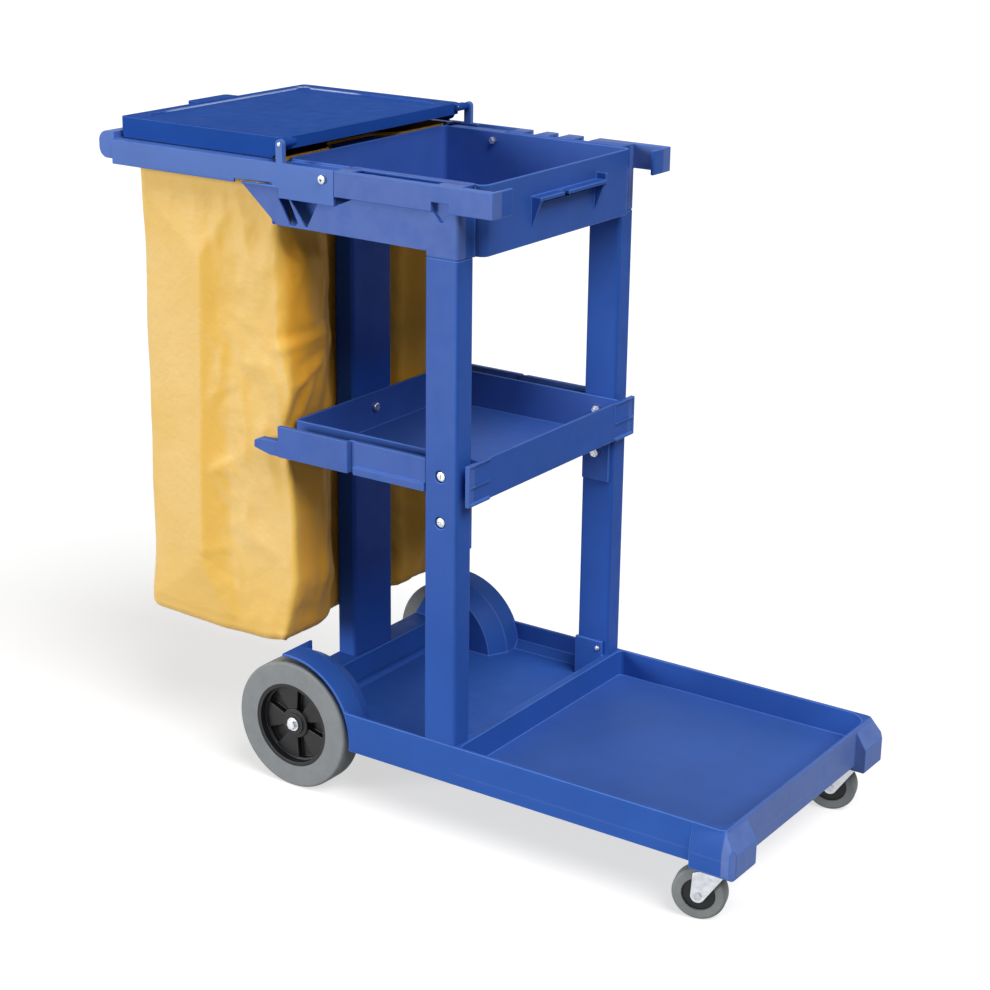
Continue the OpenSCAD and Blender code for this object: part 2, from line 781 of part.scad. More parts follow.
// Five-sided peg recess in the outer face of a leg
module leg_recess() {
    half = 14;
    top_z = rail_bottom_z + 13;
    across(deck_side_y - 5, arm_outside_y + cut)
        polygon([
            [post_mid_x - half, top_z], [post_mid_x + half, top_z],
            [post_mid_x + half, top_z - 13], [post_mid_x + 2, top_z - 27],
            [post_mid_x - 2, top_z - 27], [post_mid_x - half, top_z - 13]
        ]);
}

// Hanger ledge on the tray's front wall, with a middle notch, an end lug and two gussets
module front_ledge() {
    low_y = -76;
    high_y = 92;
    notch_y = -10;
    notch = 5;
    out = 16;
    ledge_z = tray_rim_z - 31;
    ledge_t = 6;
    lug = 5;
    difference() {
        box([tray_front_x - cut, low_y, ledge_z - ledge_t], [tray_front_x + out, high_y, ledge_z]);
        box([tray_front_x + out / 3, notch_y - notch, ledge_z - ledge_t - cut],
            [tray_front_x + out + cut, notch_y + notch, ledge_z + cut]);
    }
    box([tray_front_x - cut, high_y - cut, ledge_z - ledge_t],
        [tray_front_x + out, high_y + lug, ledge_z + 2 * lug]);
    for (y = [low_y, high_y - lug])
        across(y, y + lug)
            polygon([
                [tray_front_x - cut, ledge_z - ledge_t + cut],
                [tray_front_x + out, ledge_z - ledge_t + cut],
                [tray_front_x - cut, tray_bottom_z + 14]
            ]);
}

module rear_leg() {
    box([deck_rear_x, -rear_post_width / 2, post_top_z],
        [tray_rear_x + cut, rear_post_width / 2, tray_rim_z - tray_wall / 2]);
    box([tray_rear_x, -rear_post_width / 2, post_top_z],
        [rear_post_front_x, rear_post_width / 2, tray_bottom_z + cut]);
    translate([deck_rear_x + rear_post_depth / 2, 0, 0])
        spigot(rear_post_depth, rear_post_width, post_top_z - spigot_length, post_top_z + cut);
}

module top_tray() {
    color(moulded_blue) difference() {
        union() {
            tray_basin();
            front_ledge();
            rear_leg();
            for (side = sides) on_side(side) {
                tray_leg();
                tray_skirt();
                tray_rail();
            }
        }
        rail_notches();
        on_side(right) rail_trough();
        for (side = sides) on_side(side) {
            leg_recess();
            rod_across(handle_bolt_x, handle_bolt_z, handle_bolt_d / 2 + bolt_gap,
                post_inner_y - tray_wall - cut, arm_outside_y);
        }
    }
}

// Handle frame

// Arm outline: the rail's height, with a deeper front end where it laps over the tray
module arm_outline() {
    difference() {
        polygon([
            [frame_rear_x, rail_bottom_z], [arm_front_x - arm_drop_length, rail_bottom_z],
            [arm_front_x - arm_drop_length, rail_bottom_z - arm_drop],
            [arm_front_x - seat_gap, rail_bottom_z - arm_drop], [arm_front_x - seat_gap, rail_top_z],
            [frame_rear_x, rail_top_z]
        ]);
        polygon([
            [gusset_rear_x - 10, rail_bottom_z - cut], [gusset_rear_x, rail_bottom_z - cut],
            [gusset_rear_x + 3, rail_bottom_z + 3], [tray_rear_x + 8, rail_bottom_z + 4],
            [tray_rear_x + 8, rail_bottom_z + 7], [gusset_rear_x - 10, rail_bottom_z + 5]
        ]);
    }
}

module handle_arm() {
    across(arm_inside_y, arm_outside_y) arm_outline();
    box([frame_rear_x, frame_inner_y, rail_top_z - frame_wall],
        [frame_front_x, arm_outside_y, rail_top_z]);
    box([frame_rear_x, frame_inner_y, rail_bottom_z],
        [frame_front_x, frame_inner_y + frame_wall, rail_top_z]);
    box([frame_front_x - cut, ear_inner_y, rail_top_z - frame_wall],
        [hinge_x + 3 * ear_r, arm_outside_y, rail_top_z]);
    across(ear_inner_y, arm_outside_y) {
        translate([hinge_x, hinge_z]) circle(ear_r);
        translate([hinge_x - ear_r, rail_top_z - cut]) square([2 * ear_r, hinge_z - rail_top_z + cut]);
    }
}

// Cross member behind the bag: a channel that is open underneath
module frame_cross() {
    inner_x = frame_rear_x + arm_width / 2 + frame_wall;
    difference() {
        box([frame_rear_x, -arm_outside_y, rail_bottom_z], [inner_x, arm_outside_y, rail_top_z]);
        box([frame_rear_x + frame_wall, -frame_inner_y, rail_bottom_z - cut],
            [inner_x - frame_wall, frame_inner_y, rail_top_z - frame_wall]);
    }
}

// Outline of the grip, round at the back
module grip_outline(inset) {
    round_r = handle_depth / 2 - inset;
    low = handle_low_z + inset;
    high = handle_low_z + handle_height - inset;
    back = handle_rear_x + inset;
    translate([back + round_r, low + round_r]) circle(round_r);
    translate([back + round_r, high - round_r]) circle(round_r);
    translate([back, low + round_r]) square([round_r, high - low - 2 * round_r]);
    translate([back + round_r, low]) square([frame_rear_x - inset / 2 - back - round_r, high - low]);
}

handle_low_z = rail_top_z - handle_height + 10;
grip_end_y = deck_side_y - 2;

// Grip: a round-backed bar, open underneath so that fingers can curl into it
module grip() {
    difference() {
        across(-grip_end_y, grip_end_y) grip_outline(0);
        across(-grip_end_y + frame_wall, grip_end_y - frame_wall) grip_outline(frame_wall);
        box([handle_rear_x + 2 * frame_wall, -grip_end_y + frame_wall, handle_low_z - cut],
            [frame_rear_x - frame_wall / 2, grip_end_y - frame_wall, handle_low_z + 2 * frame_wall]);
    }
    box([frame_rear_x - frame_wall / 4, -grip_end_y, handle_low_z],
        [frame_rear_x + frame_wall / 4, grip_end_y, rail_top_z]);
}

module handle_frame() {
    color(moulded_blue) difference() {
        union() {
            frame_cross();
            grip();
            for (side = sides) on_side(side) handle_arm();
        }
        for (side = sides) on_side(side) {
            rod_across(hinge_x, hinge_z, hinge_pin_d / 2 + running_gap,
                ear_inner_y - cut, arm_outside_y + cut);
            rod_across(handle_bolt_x, handle_bolt_z, handle_bolt_d / 2 + bolt_gap,
                arm_inside_y - cut, arm_outside_y + cut);
        }
    }
}

// Lid

lid_panel_depth = 2.2;
lid_side_margin = 27;
lid_end_margin = 21;
lid_panel_r = 24;
lid_corner_r = 10;
lid_tab_out = 20;
lid_tab_t = 8;
lid_tab_rise = 1;

module lid_plan(inset) {
    rounded_between([lid_rear_x + inset, -lid_side_y + inset], [lid_front_x - inset, lid_side_y - inset],
        lid_corner_r - inset / 2);
}

module lid_knuckle() {
    across(knuckle_outer_y - knuckle_width, knuckle_outer_y) {
        translate([hinge_x, hinge_z]) circle(knuckle_r);
        translate([lid_front_x - lid_wall, hinge_z]) square([hinge_x - lid_front_x + lid_wall, knuckle_r]);
    }
}

// What is cut away under the front edge, so that the lid clears the tray when it swings up
module lid_front_cut() {
    sill_z = lid_top_z - lid_front_skirt;
    difference() {
        translate([lid_front_x - 2 * lid_corner_r, lid_bottom_z - cut])
            square([2 * lid_corner_r + cut, sill_z - lid_bottom_z + cut]);
        translate([lid_front_x - 2 * lid_corner_r, sill_z]) circle(lid_corner_r);
    }
}

module lid() {
    color(moulded_blue) difference() {
        union() {
            upright(lid_bottom_z, lid_top_z) lid_plan(0);
            upright(lid_top_z - lid_tab_t, lid_top_z + lid_tab_rise)
                rounded_between([lid_rear_x - lid_tab_out, -lid_tab_width / 2],
                    [lid_rear_x + lid_end_margin / 2, lid_tab_width / 2], 7);
            for (side = sides) on_side(side) lid_knuckle();
        }
        difference() {
            upright(lid_bottom_z - cut, lid_top_z - lid_wall - lid_panel_depth) lid_plan(lid_wall);
            box([lid_rear_x, -lid_wall / 2, lid_bottom_z + lid_height / 2],
                [lid_front_x, lid_wall / 2, lid_top_z]);
        }
        upright(lid_top_z - lid_panel_depth, lid_top_z + cut)
            rounded_between([lid_rear_x + lid_end_margin, -lid_side_y + lid_side_margin],
                [lid_front_x - lid_end_margin, lid_side_y - lid_side_margin], lid_panel_r);
        across(-lid_side_y - cut, lid_side_y + cut) lid_front_cut();
        for (side = sides) on_side(side)
            rod_across(hinge_x, hinge_z, hinge_pin_d / 2 + running_gap,
                knuckle_outer_y - knuckle_width - cut, knuckle_outer_y + cut);
    }
}

module lid_hinge_pins() {
    color(steel) for (side = sides) on_side(side)
        rod_across(hinge_x, hinge_z, hinge_pin_d / 2, knuckle_outer_y - knuckle_width, arm_outside_y);
}

// Bag

// Plan of the bag, drawn in by the inset, with the hollow that goes round the rear post
module bag_plan(inset) {
    difference() {
        rounded_between([bag_rear_x + inset, -bag_side_y + inset],
            [bag_front_x - inset, bag_side_y - inset], bag_edge_r - inset);
        translate([bag_notch_x - inset, -bag_notch_y - inset])
            square([bag_front_x - bag_notch_x + 2 * inset, 2 * (bag_notch_y + inset)]);
    }
}

module bag() {
    hem_z = bag_top_z - bag_hem;
    color(bag_yellow) difference() {
        union() {
            upright(bag_bottom_z, bag_top_z) bag_plan(bag_slack);
            upright(hem_z, bag_top_z) bag_plan(0);
        }
        upright(bag_bottom_z + bag_wall, bag_top_z + cut) bag_plan(bag_slack + bag_wall);
    }
}

// Rear wheels

module rear_axle() {
    end_y = barrel_high_y + seat_gap;
    color(steel) rod_across(axle_x, axle_z, axle_d / 2, -end_y, end_y);
}

module axle_screws() {
    low = barrel_high_y + seat_gap + washer_t;
    color(zinc) for (side = sides) on_side(side)
        hex_across(axle_x, axle_z, 13, low, low + screw_head_t);
}

module axle_washers() {
    outer = barrel_high_y + seat_gap;
    color(zinc) for (side = sides) on_side(side) {
        rod_across(axle_x, axle_z, washer_r, outer, outer + washer_t);
        difference() {
            rod_across(axle_x, axle_z, washer_r, well_face_y, well_face_y + washer_t);
            rod_across(axle_x, axle_z, axle_d / 2 + running_gap,
                well_face_y - cut, well_face_y + washer_t + cut);
        }
    }
}

// Ring about an axis across the cart, from a profile of radius and distance from the mid-plane
module wheel_turned(x, y, z) {
    translate([x, y, z]) rotate([90, 0, 0]) rotate_extrude() children();
}

// Half profile of a tyre with round shoulders
module tyre_profile(inner_r, outer_r, width, shoulder) {
    translate([inner_r, -width / 2]) square([outer_r - inner_r - shoulder, width]);
    translate([inner_r, -width / 2 + shoulder]) square([outer_r - inner_r, width - 2 * shoulder]);
    for (s = [-1, 1])
        translate([outer_r - shoulder, s * (width / 2 - shoulder)]) circle(shoulder);
}

module rear_tyre(side) {
    color(tyre_grey) on_side(side) wheel_turned(axle_x, wheel_mid_y, axle_z)
        tyre_profile(hub_d / 2, wheel_d / 2, wheel_w, 4.5);
}

// Wedge-shaped pocket between two spokes, in wheel coordinates
module spoke_gap(angle) {
    inner = barrel_r + 4;
    outer = hub_d / 2 - 9;
    half_angle = 14;
    rotate(angle) intersection() {
        difference() {
            circle(outer);
            circle(inner);
        }
        polygon([
            [0, 0], [2 * outer * cos(half_angle), 2 * outer * sin(half_angle)],
            [2 * outer * cos(half_angle), -2 * outer * sin(half_angle)]
        ]);
    }
}

module rear_hub(side) {
    rim_wall = 6;
    disc_t = 9;
    web_t = 3;
    disc_y = wheel_mid_y + wheel_w / 2 - 22;
    color(hub_black) on_side(side) difference() {
        union() {
            wheel_turned(axle_x, wheel_mid_y, axle_z)
                translate([hub_d / 2 - rim_wall, -wheel_w / 2 + 1]) square([rim_wall, wheel_w - 2]);
            rod_across(axle_x, axle_z, hub_d / 2 - cut, disc_y - web_t, disc_y + disc_t);
            rod_across(axle_x, axle_z, barrel_r, barrel_low_y, barrel_high_y);
            rod_across(axle_x, axle_z, barrel_r + 6, disc_y - disc_t, disc_y + disc_t + 4);
        }
        across(disc_y, disc_y + disc_t + cut) translate([axle_x, axle_z])
            for (i = [0 : spoke_count - 1]) spoke_gap(i * 360 / spoke_count);
        rod_across(axle_x, axle_z, axle_d / 2 + running_gap, barrel_low_y - cut, barrel_high_y + cut);
    }
}

// Casters

// Piece of a caster, modelled with its swivel axis at the origin and its trail towards -X
module at_caster(side) {
    translate([caster_x, side * caster_y, 0]) rotate(caster_turn) children();
}

module caster_stem(side) {
    color(steel) translate([caster_x, side * caster_y, 0]) {
        translate([0, 0, race_low_z]) cylinder(r = crown_r - 2, h = race_high_z - race_low_z);
        translate([0, 0, race_high_z - cut]) cylinder(d = stem_d - 2 * seat_gap, h = stem_length);
        translate([0, 0, crown_low_z - seat_gap - cut])
            cylinder(r = kingpin_r, h = race_low_z - crown_low_z + seat_gap + 2 * cut);
        translate([0, 0, crown_low_z - seat_gap - rivet_t]) cylinder(r = rivet_r, h = rivet_t);
    }
}

// Side plate of a fork: wide at the crown, leaning back to a round eye at the axle
module fork_plate() {
    translate([-caster_trail, caster_axle_z]) circle(fork_eye_r);
    polygon([
        [-crown_r + 5, crown_high_z], [crown_r - 5, crown_high_z], [crown_r - 5, crown_low_z - 4],
        [-caster_trail + fork_eye_r * 0.78, caster_axle_z - fork_eye_r * 0.62],
        [-caster_trail - fork_eye_r, caster_axle_z], [-caster_trail - fork_eye_r + 2, caster_d - 5],
        [-crown_r, caster_d + 1], [-crown_r + 5, crown_low_z - 2]
    ]);
}

module caster_fork(side) {
    color(zinc) at_caster(side) difference() {
        union() {
            intersection() {
                translate([0, 0, crown_low_z]) cylinder(r = crown_r, h = crown_high_z - crown_low_z);
                box([-crown_r, -fork_outer, crown_low_z], [crown_r, fork_outer, crown_high_z]);
            }
            for (s = sides) on_side(s) across(fork_inner, fork_outer) fork_plate();
        }
        translate([0, 0, crown_low_z - cut])
            cylinder(r = kingpin_r + running_gap, h = crown_high_z - crown_low_z + 2 * cut);
        rod_across(-caster_trail, caster_axle_z, caster_axle_d / 2 + running_gap,
            -fork_outer - cut, fork_outer + cut);
    }
}

module caster_axle(side) {
    head_flats = caster_axle_d + 2.5;
    head_t = 2;
    color(steel) at_caster(side) {
        rod_across(-caster_trail, caster_axle_z, caster_axle_d / 2,
            -fork_outer - head_t, fork_outer + head_t);
        for (s = sides) on_side(s)
            hex_across(-caster_trail, caster_axle_z, head_flats, fork_outer, fork_outer + head_t);
    }
}

module caster_hub(side) {
    half = fork_inner - seat_gap;
    color(hub_black) at_caster(side) difference() {
        union() {
            rod_across(-caster_trail, caster_axle_z, caster_hub_r, -caster_w / 2 + 3, caster_w / 2 - 3);
            rod_across(-caster_trail, caster_axle_z, caster_axle_d / 2 + 5, -half, half);
        }
        rod_across(-caster_trail, caster_axle_z, caster_axle_d / 2 + running_gap, -half - cut, half + cut);
    }
}

module caster_tyre(side) {
    color(tyre_grey * 0.8) at_caster(side) wheel_turned(-caster_trail, 0, caster_axle_z)
        tyre_profile(caster_hub_r, caster_d / 2, caster_w, 5);
}

// Fasteners

module shelf_bolts() {
    seat_y = deck_side_y - bolt_recess_depth;
    color(zinc) {
        for (side = sides) on_side(side)
            for (z = [upper_bolt_z, lower_bolt_z]) {
                rod_across(post_mid_x, z, bolt_head_r, seat_y, seat_y + bolt_head_t);
                rod_across(post_mid_x, z, shelf_bolt_d / 2,
                    post_inner_y - shelf_tab_t - nut_t - 1, seat_y + cut);
            }
        lengthwise(rear_post_front_x + shelf_wall, rear_post_front_x + shelf_wall + bolt_head_t)
            translate([0, rear_bolt_z]) circle(bolt_head_r);
        lengthwise(deck_rear_x + post_wall + seat_gap, rear_post_front_x + shelf_wall + cut)
            translate([0, rear_bolt_z]) circle(shelf_bolt_d / 2);
    }
}

// Hexagon nut on a bolt across the cart
module nut_on(x, z, bolt_d, low) {
    difference() {
        hex_across(x, z, 1.6 * bolt_d, low, low + nut_t);
        rod_across(x, z, bolt_d / 2 + running_gap, low - cut, low + nut_t + cut);
    }
}

module shelf_nuts() {
    color(zinc) for (side = sides) on_side(side) {
        nut_on(post_mid_x, upper_bolt_z, shelf_bolt_d, post_inner_y - shelf_wall - nut_t);
        nut_on(post_mid_x, lower_bolt_z, shelf_bolt_d, post_inner_y - shelf_tab_t - nut_t);
    }
}

module handle_bolts() {
    color(zinc) for (side = sides) on_side(side) {
        rod_across(handle_bolt_x, handle_bolt_z, handle_head_r,
            arm_outside_y, arm_outside_y + handle_head_t);
        rod_across(handle_bolt_x, handle_bolt_z, handle_bolt_d / 2,
            post_inner_y - tray_wall - nut_t - 1, arm_outside_y + cut);
    }
}

module handle_nuts() {
    color(zinc) for (side = sides) on_side(side)
        nut_on(handle_bolt_x, handle_bolt_z, handle_bolt_d, post_inner_y - tray_wall - nut_t);
}

module foot_screws() {
    head_r = 4;
    head_t = 3;
    shank_r = 1.9;
    face_y = post_inner_y - foot_tab_t;
    color(zinc) for (side = sides) on_side(side) {
        rod_across(foot_screw_x, foot_screw_z, head_r, face_y - head_t, face_y);
        rod_across(foot_screw_x, foot_screw_z, shank_r, face_y - cut, post_inner_y + post_wall);
    }
}

base_deck();
front_post(left);  // front_post_left
front_post(right);  // front_post_right
rear_post();
mid_shelf();
top_tray();
handle_frame();
lid();
lid_hinge_pins();
bag();
rear_axle();
axle_screws();
axle_washers();
rear_tyre(left);  // rear_tyre_left
rear_tyre(right);  // rear_tyre_right
rear_hub(left);  // rear_hub_left
rear_hub(right);  // rear_hub_right
caster_stem(left);  // caster_stem_left
caster_stem(right);  // caster_stem_right
caster_fork(left);  // caster_fork_left
caster_fork(right);  // caster_fork_right
caster_axle(left);  // caster_axle_left
caster_axle(right);  // caster_axle_right
caster_hub(left);  // caster_hub_left
caster_hub(right);  // caster_hub_right
caster_tyre(left);  // caster_tyre_left
caster_tyre(right);  // caster_tyre_right
shelf_bolts();
shelf_nuts();
handle_bolts();
handle_nuts();
foot_screws();
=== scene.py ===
"""Looks of the janitor cart: softened mouldings, wheels, screws, waste bag, finishes, stage and camera."""

import logging
import math
from dataclasses import dataclass
from enum import Enum
from typing import Iterable, Sequence

import bmesh
import bpy
from mathutils import Matrix, Vector, noise


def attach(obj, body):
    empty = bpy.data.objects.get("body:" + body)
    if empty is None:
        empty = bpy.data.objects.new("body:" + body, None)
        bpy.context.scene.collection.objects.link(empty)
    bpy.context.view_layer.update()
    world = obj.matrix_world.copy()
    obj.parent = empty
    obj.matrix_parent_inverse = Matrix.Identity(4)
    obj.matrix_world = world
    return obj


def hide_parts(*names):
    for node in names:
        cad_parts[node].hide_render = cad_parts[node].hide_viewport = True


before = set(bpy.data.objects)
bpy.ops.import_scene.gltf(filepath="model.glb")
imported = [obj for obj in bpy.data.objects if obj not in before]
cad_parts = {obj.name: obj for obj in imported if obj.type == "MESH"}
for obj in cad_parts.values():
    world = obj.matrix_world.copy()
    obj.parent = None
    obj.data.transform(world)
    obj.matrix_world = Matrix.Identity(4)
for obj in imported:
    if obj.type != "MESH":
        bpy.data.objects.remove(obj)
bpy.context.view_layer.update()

LOG = logging.getLogger("janitor_cart")
MM = 0.001
IMAGE_PIXELS = 990
SENSOR_MM = 36.0
FACING = "facing"
WHITE = (1, 1, 1, 1)
WAVE_RADIANS = 20.0
SIDES = (("left", 1), ("right", -1))
Colour = tuple[float, float, float]
Point = Colour
Band = tuple[str, float, float, float]
Span = tuple[float, float]
Gate = tuple[float, float, float, float]
Piece = bpy.types.Object
Socket = bpy.types.NodeSocket
Node = bpy.types.Node
Tree = bpy.types.NodeTree
Work = bmesh.types.BMesh
Ring = list[bmesh.types.BMVert]


class Body(str, Enum):
    """Bodies of the cart that pieces ride on."""

    CART = "cart"
    LID = "lid"
    WHEEL_LEFT = "wheel_left"
    WHEEL_RIGHT = "wheel_right"
    CASTER_LEFT = "caster_left"
    CASTER_RIGHT = "caster_right"
    CASTER_WHEEL_LEFT = "caster_wheel_left"
    CASTER_WHEEL_RIGHT = "caster_wheel_right"


class Slot(str, Enum):
    """Material slots of the record."""

    BLUE = "moulded_blue"
    BAG = "bag_yellow"
    TYRE = "tyre_grey"
    CASTER_TREAD = "caster_tread"
    HUB = "hub_black"
    ZINC = "zinc"
    STEEL = "steel"


def from_srgb(*channels: int) -> Colour:
    """Turns a display colour into linear light.

    Args:
        channels: Red, green and blue from 0 to 255.

    Returns:
        The linear colour.
    """
    shares = (value / 255 for value in channels)
    return tuple(s / 12.92 if s <= 0.04045 else ((s + 0.055) / 1.055) ** 2.4 for s in shares)


def shade(colour: Colour, factor: float) -> Colour:
    """Scales a colour's light."""
    return tuple(min(1.0, c * factor) for c in colour)


def chain(tree: Tree, operation: str, factors: Sequence[Socket]) -> Socket:
    """Takes factors through one operation, from the first to the last.

    Args:
        tree: The node tree that the factors are in.
        operation: The operation's name in a Math node.
        factors: One factor or more.

    Returns:
        The result.
    """
    result = factors[0]
    for factor in factors[1:]:
        step = tree.nodes.new("ShaderNodeMath")
        step.operation = operation
        tree.links.new(result, step.inputs[0])
        tree.links.new(factor, step.inputs[1])
        result = step.outputs["Value"]
    return result


class Shader:
    """Builds the node tree of one material around a Principled shader."""

    def __init__(self, name: str) -> None:
        """Makes an empty material with a Principled shader.

        Args:
            name: The material's name.
        """
        self.material = bpy.data.materials.new(name)
        self.material.use_nodes = True
        self.tree = self.material.node_tree
        self.surface = self.tree.nodes["Principled BSDF"]
        self.place = self.tree.nodes.new("ShaderNodeTexCoord")

    def node(self, kind: str, **values: object) -> Node:
        """Adds a node.

        Args:
            kind: The node's type name.
            values: Input names, with underscores for spaces, and their values.

        Returns:
            The new node.
        """
        new = self.tree.nodes.new(kind)
        for name, value in values.items():
            new.inputs[name.replace("_", " ")].default_value = value
        return new

    def link(self, source: Socket, target: Socket) -> None:
        """Joins two sockets."""
        self.tree.links.new(source, target)

    def set(self, **values: object) -> None:
        """Sets constants on the shader's own sockets, by names with underscores for spaces."""
        for name, value in values.items():
            self.surface.inputs[name.replace("_", " ")].default_value = value

    def coat(self, tint: Socket, rough: Socket) -> None:
        """Gives the surface its colour and its roughness."""
        self.link(tint, self.surface.inputs["Base Color"])
        self.link(rough, self.surface.inputs["Roughness"])

    def speckle(self, scale: float, detail: float, rough: float = 0.5) -> Socket:
        """Adds a noise over the piece.

        Args:
            scale: Grains in a metre.
            detail: Octaves of the noise.
            rough: Weight of the finer octaves.

        Returns:
            The noise's factor.
        """
        grain = self.node("ShaderNodeTexNoise", Scale=scale, Detail=detail, Roughness=rough)
        self.link(self.place.outputs["Object"], grain.inputs["Vector"])
        return grain.outputs["Fac"]

    def ramp(self, factor: Socket, low: float, high: float, low_at: float = 0.35,
             high_at: float = 0.65) -> Socket:
        """Maps a factor to a range of numbers.

        Args:
            factor: The factor to map.
            low: Number at and below low_at.
            high: Number at and above high_at.
            low_at: Factor where the range starts.
            high_at: Factor where the range ends.

        Returns:
            The mapped number.
        """
        change = self.node("ShaderNodeMapRange", From_Min=low_at, From_Max=high_at, To_Min=low, To_Max=high)
        self.link(factor, change.inputs["Value"])
        return change.outputs["Result"]

    def blend(self, factor: Socket, first: Colour | Socket, second: Colour) -> Socket:
        """Blends two colours by a factor.

        Args:
            factor: 0 gives the first colour and 1 the second.
            first: The first colour, or the socket of what lies under the second.
            second: The second colour.

        Returns:
            The blended colour.
        """
        mix = self.tree.nodes.new("ShaderNodeMix")
        mix.data_type = "RGBA"
        under, over = (s for s in mix.inputs if s.type == "RGBA")
        over.default_value = (*second, 1)
        if isinstance(first, Socket):
            self.link(first, under)
        else:
            under.default_value = (*first, 1)
        self.link(factor, mix.inputs["Factor"])
        return next(s for s in mix.outputs if s.type == "RGBA")

    def coordinate(self, axis: str) -> Socket:
        """Reads a coordinate of the piece.

        Args:
            axis: X, Y or Z.

        Returns:
            The coordinate in metres.
        """
        parts = self.tree.nodes.new("ShaderNodeSeparateXYZ")
        self.link(self.place.outputs["Object"], parts.inputs["Vector"])
        return parts.outputs[axis]

    def band(self, axis: str, low: float, high: float, soft: float) -> Socket:
        """Marks the slice of the piece between two planes.

        Args:
            axis: The planes' axis, X, Y or Z.
            low: Where the slice starts, in metres.
            high: Where it ends.
            soft: How far its edges fade.

        Returns:
            A factor of 1 in the slice.
        """
        along = self.coordinate(axis)
        rise = self.ramp(along, 0.0, 1.0, low - soft, low)
        fall = self.ramp(along, 1.0, 0.0, high, high + soft)
        return self.product([rise, fall])

    def product(self, factors: Sequence[Socket]) -> Socket:
        """Multiplies factors."""
        return chain(self.tree, "MULTIPLY", factors)

    def bump(self, heights: Iterable[tuple[Socket, float, float]]) -> None:
        """Stacks bumps on the surface.

        Args:
            heights: For each bump its height socket, its strength and its depth in metres.
        """
        normal = None
        for height, strength, depth in heights:
            bump = self.node("ShaderNodeBump", Strength=strength, Distance=depth)
            self.link(height, bump.inputs["Height"])
            if normal is not None:
                self.link(normal, bump.inputs["Normal"])
            normal = bump.outputs["Normal"]
        if normal is not None:
            self.link(normal, self.surface.inputs["Normal"])


@dataclass(frozen=True)
class Finish:
    """A named finish, made a material at its first use."""

    name: str
    colour: Colour

    def material(self) -> bpy.types.Material:
        """Finds the finish's material, or paints it.

        Returns:
            The material.
        """
        known = bpy.data.materials.get(self.name)
        if known:
            return known
        shader = Shader(self.name)
        self.paint(shader)
        return shader.material

    def paint(self, shader: Shader) -> None:
        """Paints the finish, each kind in its own way."""
        raise NotImplementedError


@dataclass(frozen=True)
class PaintedLight:
    """A place painted paler to stand in for light that falls on it, where slices cross: each its axis, start,
    end and fade in metres.
    """

    bands: tuple[Band, ...]
    strength: float = 1.0


def side_painted_lights(low: float, high: float, fade: float, strength: float, *bands: Band) -> tuple[PaintedLight, PaintedLight]:
    """Paints light alike on the two sides of a piece.

    Args:
        low: Where the painted light starts, in metres from the middle.
        high: Where it ends.
        fade: How far its edges fade.
        strength: Its strength.
        bands: Slices that bound it in other directions.

    Returns:
        A painted light for each side.
    """
    return (PaintedLight((*bands, ("Y", -high, -low, fade)), strength),
            PaintedLight((*bands, ("Y", low, high, fade)), strength))


@dataclass(frozen=True)
class MouldedPlastic(Finish):
    """Injection-moulded plastic: faint flow marks in its colour, a fine eroded grain, and painted light on
    chosen places.
    """

    roughness: float = 0.5
    specular: float = 0.1
    refraction: float = 1.49
    variation: float = 0.08
    flow: float = 7.0
    swirl: float = 42.0
    swirl_depth: float = 0.0006
    grain: float = 900.0
    grain_depth: float = 0.00012
    painted_lights: tuple[PaintedLight, ...] = ()
    painted_light_colour: Colour = (0.62, 0.68, 0.82)

    def paint(self, shader: Shader) -> None:
        """Paints flow marks, painted light on paler places, and grain.

        Args:
            shader: The material's shader.
        """
        flow = shader.speckle(self.flow, 4.0, 0.6)
        grain = shader.speckle(self.grain, 2.0)
        swirl = shader.speckle(self.swirl, 3.0)
        tint = shader.blend(shader.ramp(flow, 0.0, 1.0, 0.3, 0.7),
                            shade(self.colour, 1 - self.variation), shade(self.colour, 1 + self.variation))
        # Painted light: lays the pale colour over each chosen place, standing in for light that falls there.
        for light_place in self.painted_lights:
            painted_lit = shader.product([shader.ramp(swirl, 0.7 * light_place.strength, light_place.strength, 0.3, 0.6),
                                   *(shader.band(*band) for band in light_place.bands)])
            tint = shader.blend(painted_lit, tint, self.painted_light_colour)
        shader.coat(tint, shader.ramp(swirl, self.roughness - 0.05, self.roughness + 0.06, 0.3, 0.7))
        shader.set(Specular_IOR_Level=self.specular, IOR=self.refraction)
        shader.bump([(swirl, 0.12, self.swirl_depth), (grain, 0.35, self.grain_depth)])


@dataclass(frozen=True)
class GreyRubber(Finish):
    """Solid rubber or thread: matt, with dusty patches and a slightly pitted skin."""

    roughness: float = 0.68
    specular: float = 0.3
    dust: float = 38.0
    dust_depth: float = 0.0008
    pits: float = 700.0
    pit_depth: float = 0.00015

    def paint(self, shader: Shader) -> None:
        """Paints dust and pits.

        Args:
            shader: The material's shader.
        """
        dust = shader.speckle(self.dust, 5.0, 0.65)
        pits = shader.speckle(self.pits, 2.0)
        tint = shader.blend(shader.ramp(dust, 0.0, 1.0, 0.3, 0.7), shade(self.colour, 0.88),
                            shade(self.colour, 1.10))
        shader.coat(tint, shader.ramp(dust, self.roughness - 0.06, self.roughness + 0.1))
        shader.set(Specular_IOR_Level=self.specular)
        shader.bump([(dust, 0.1, self.dust_depth), (pits, 0.4, self.pit_depth)])


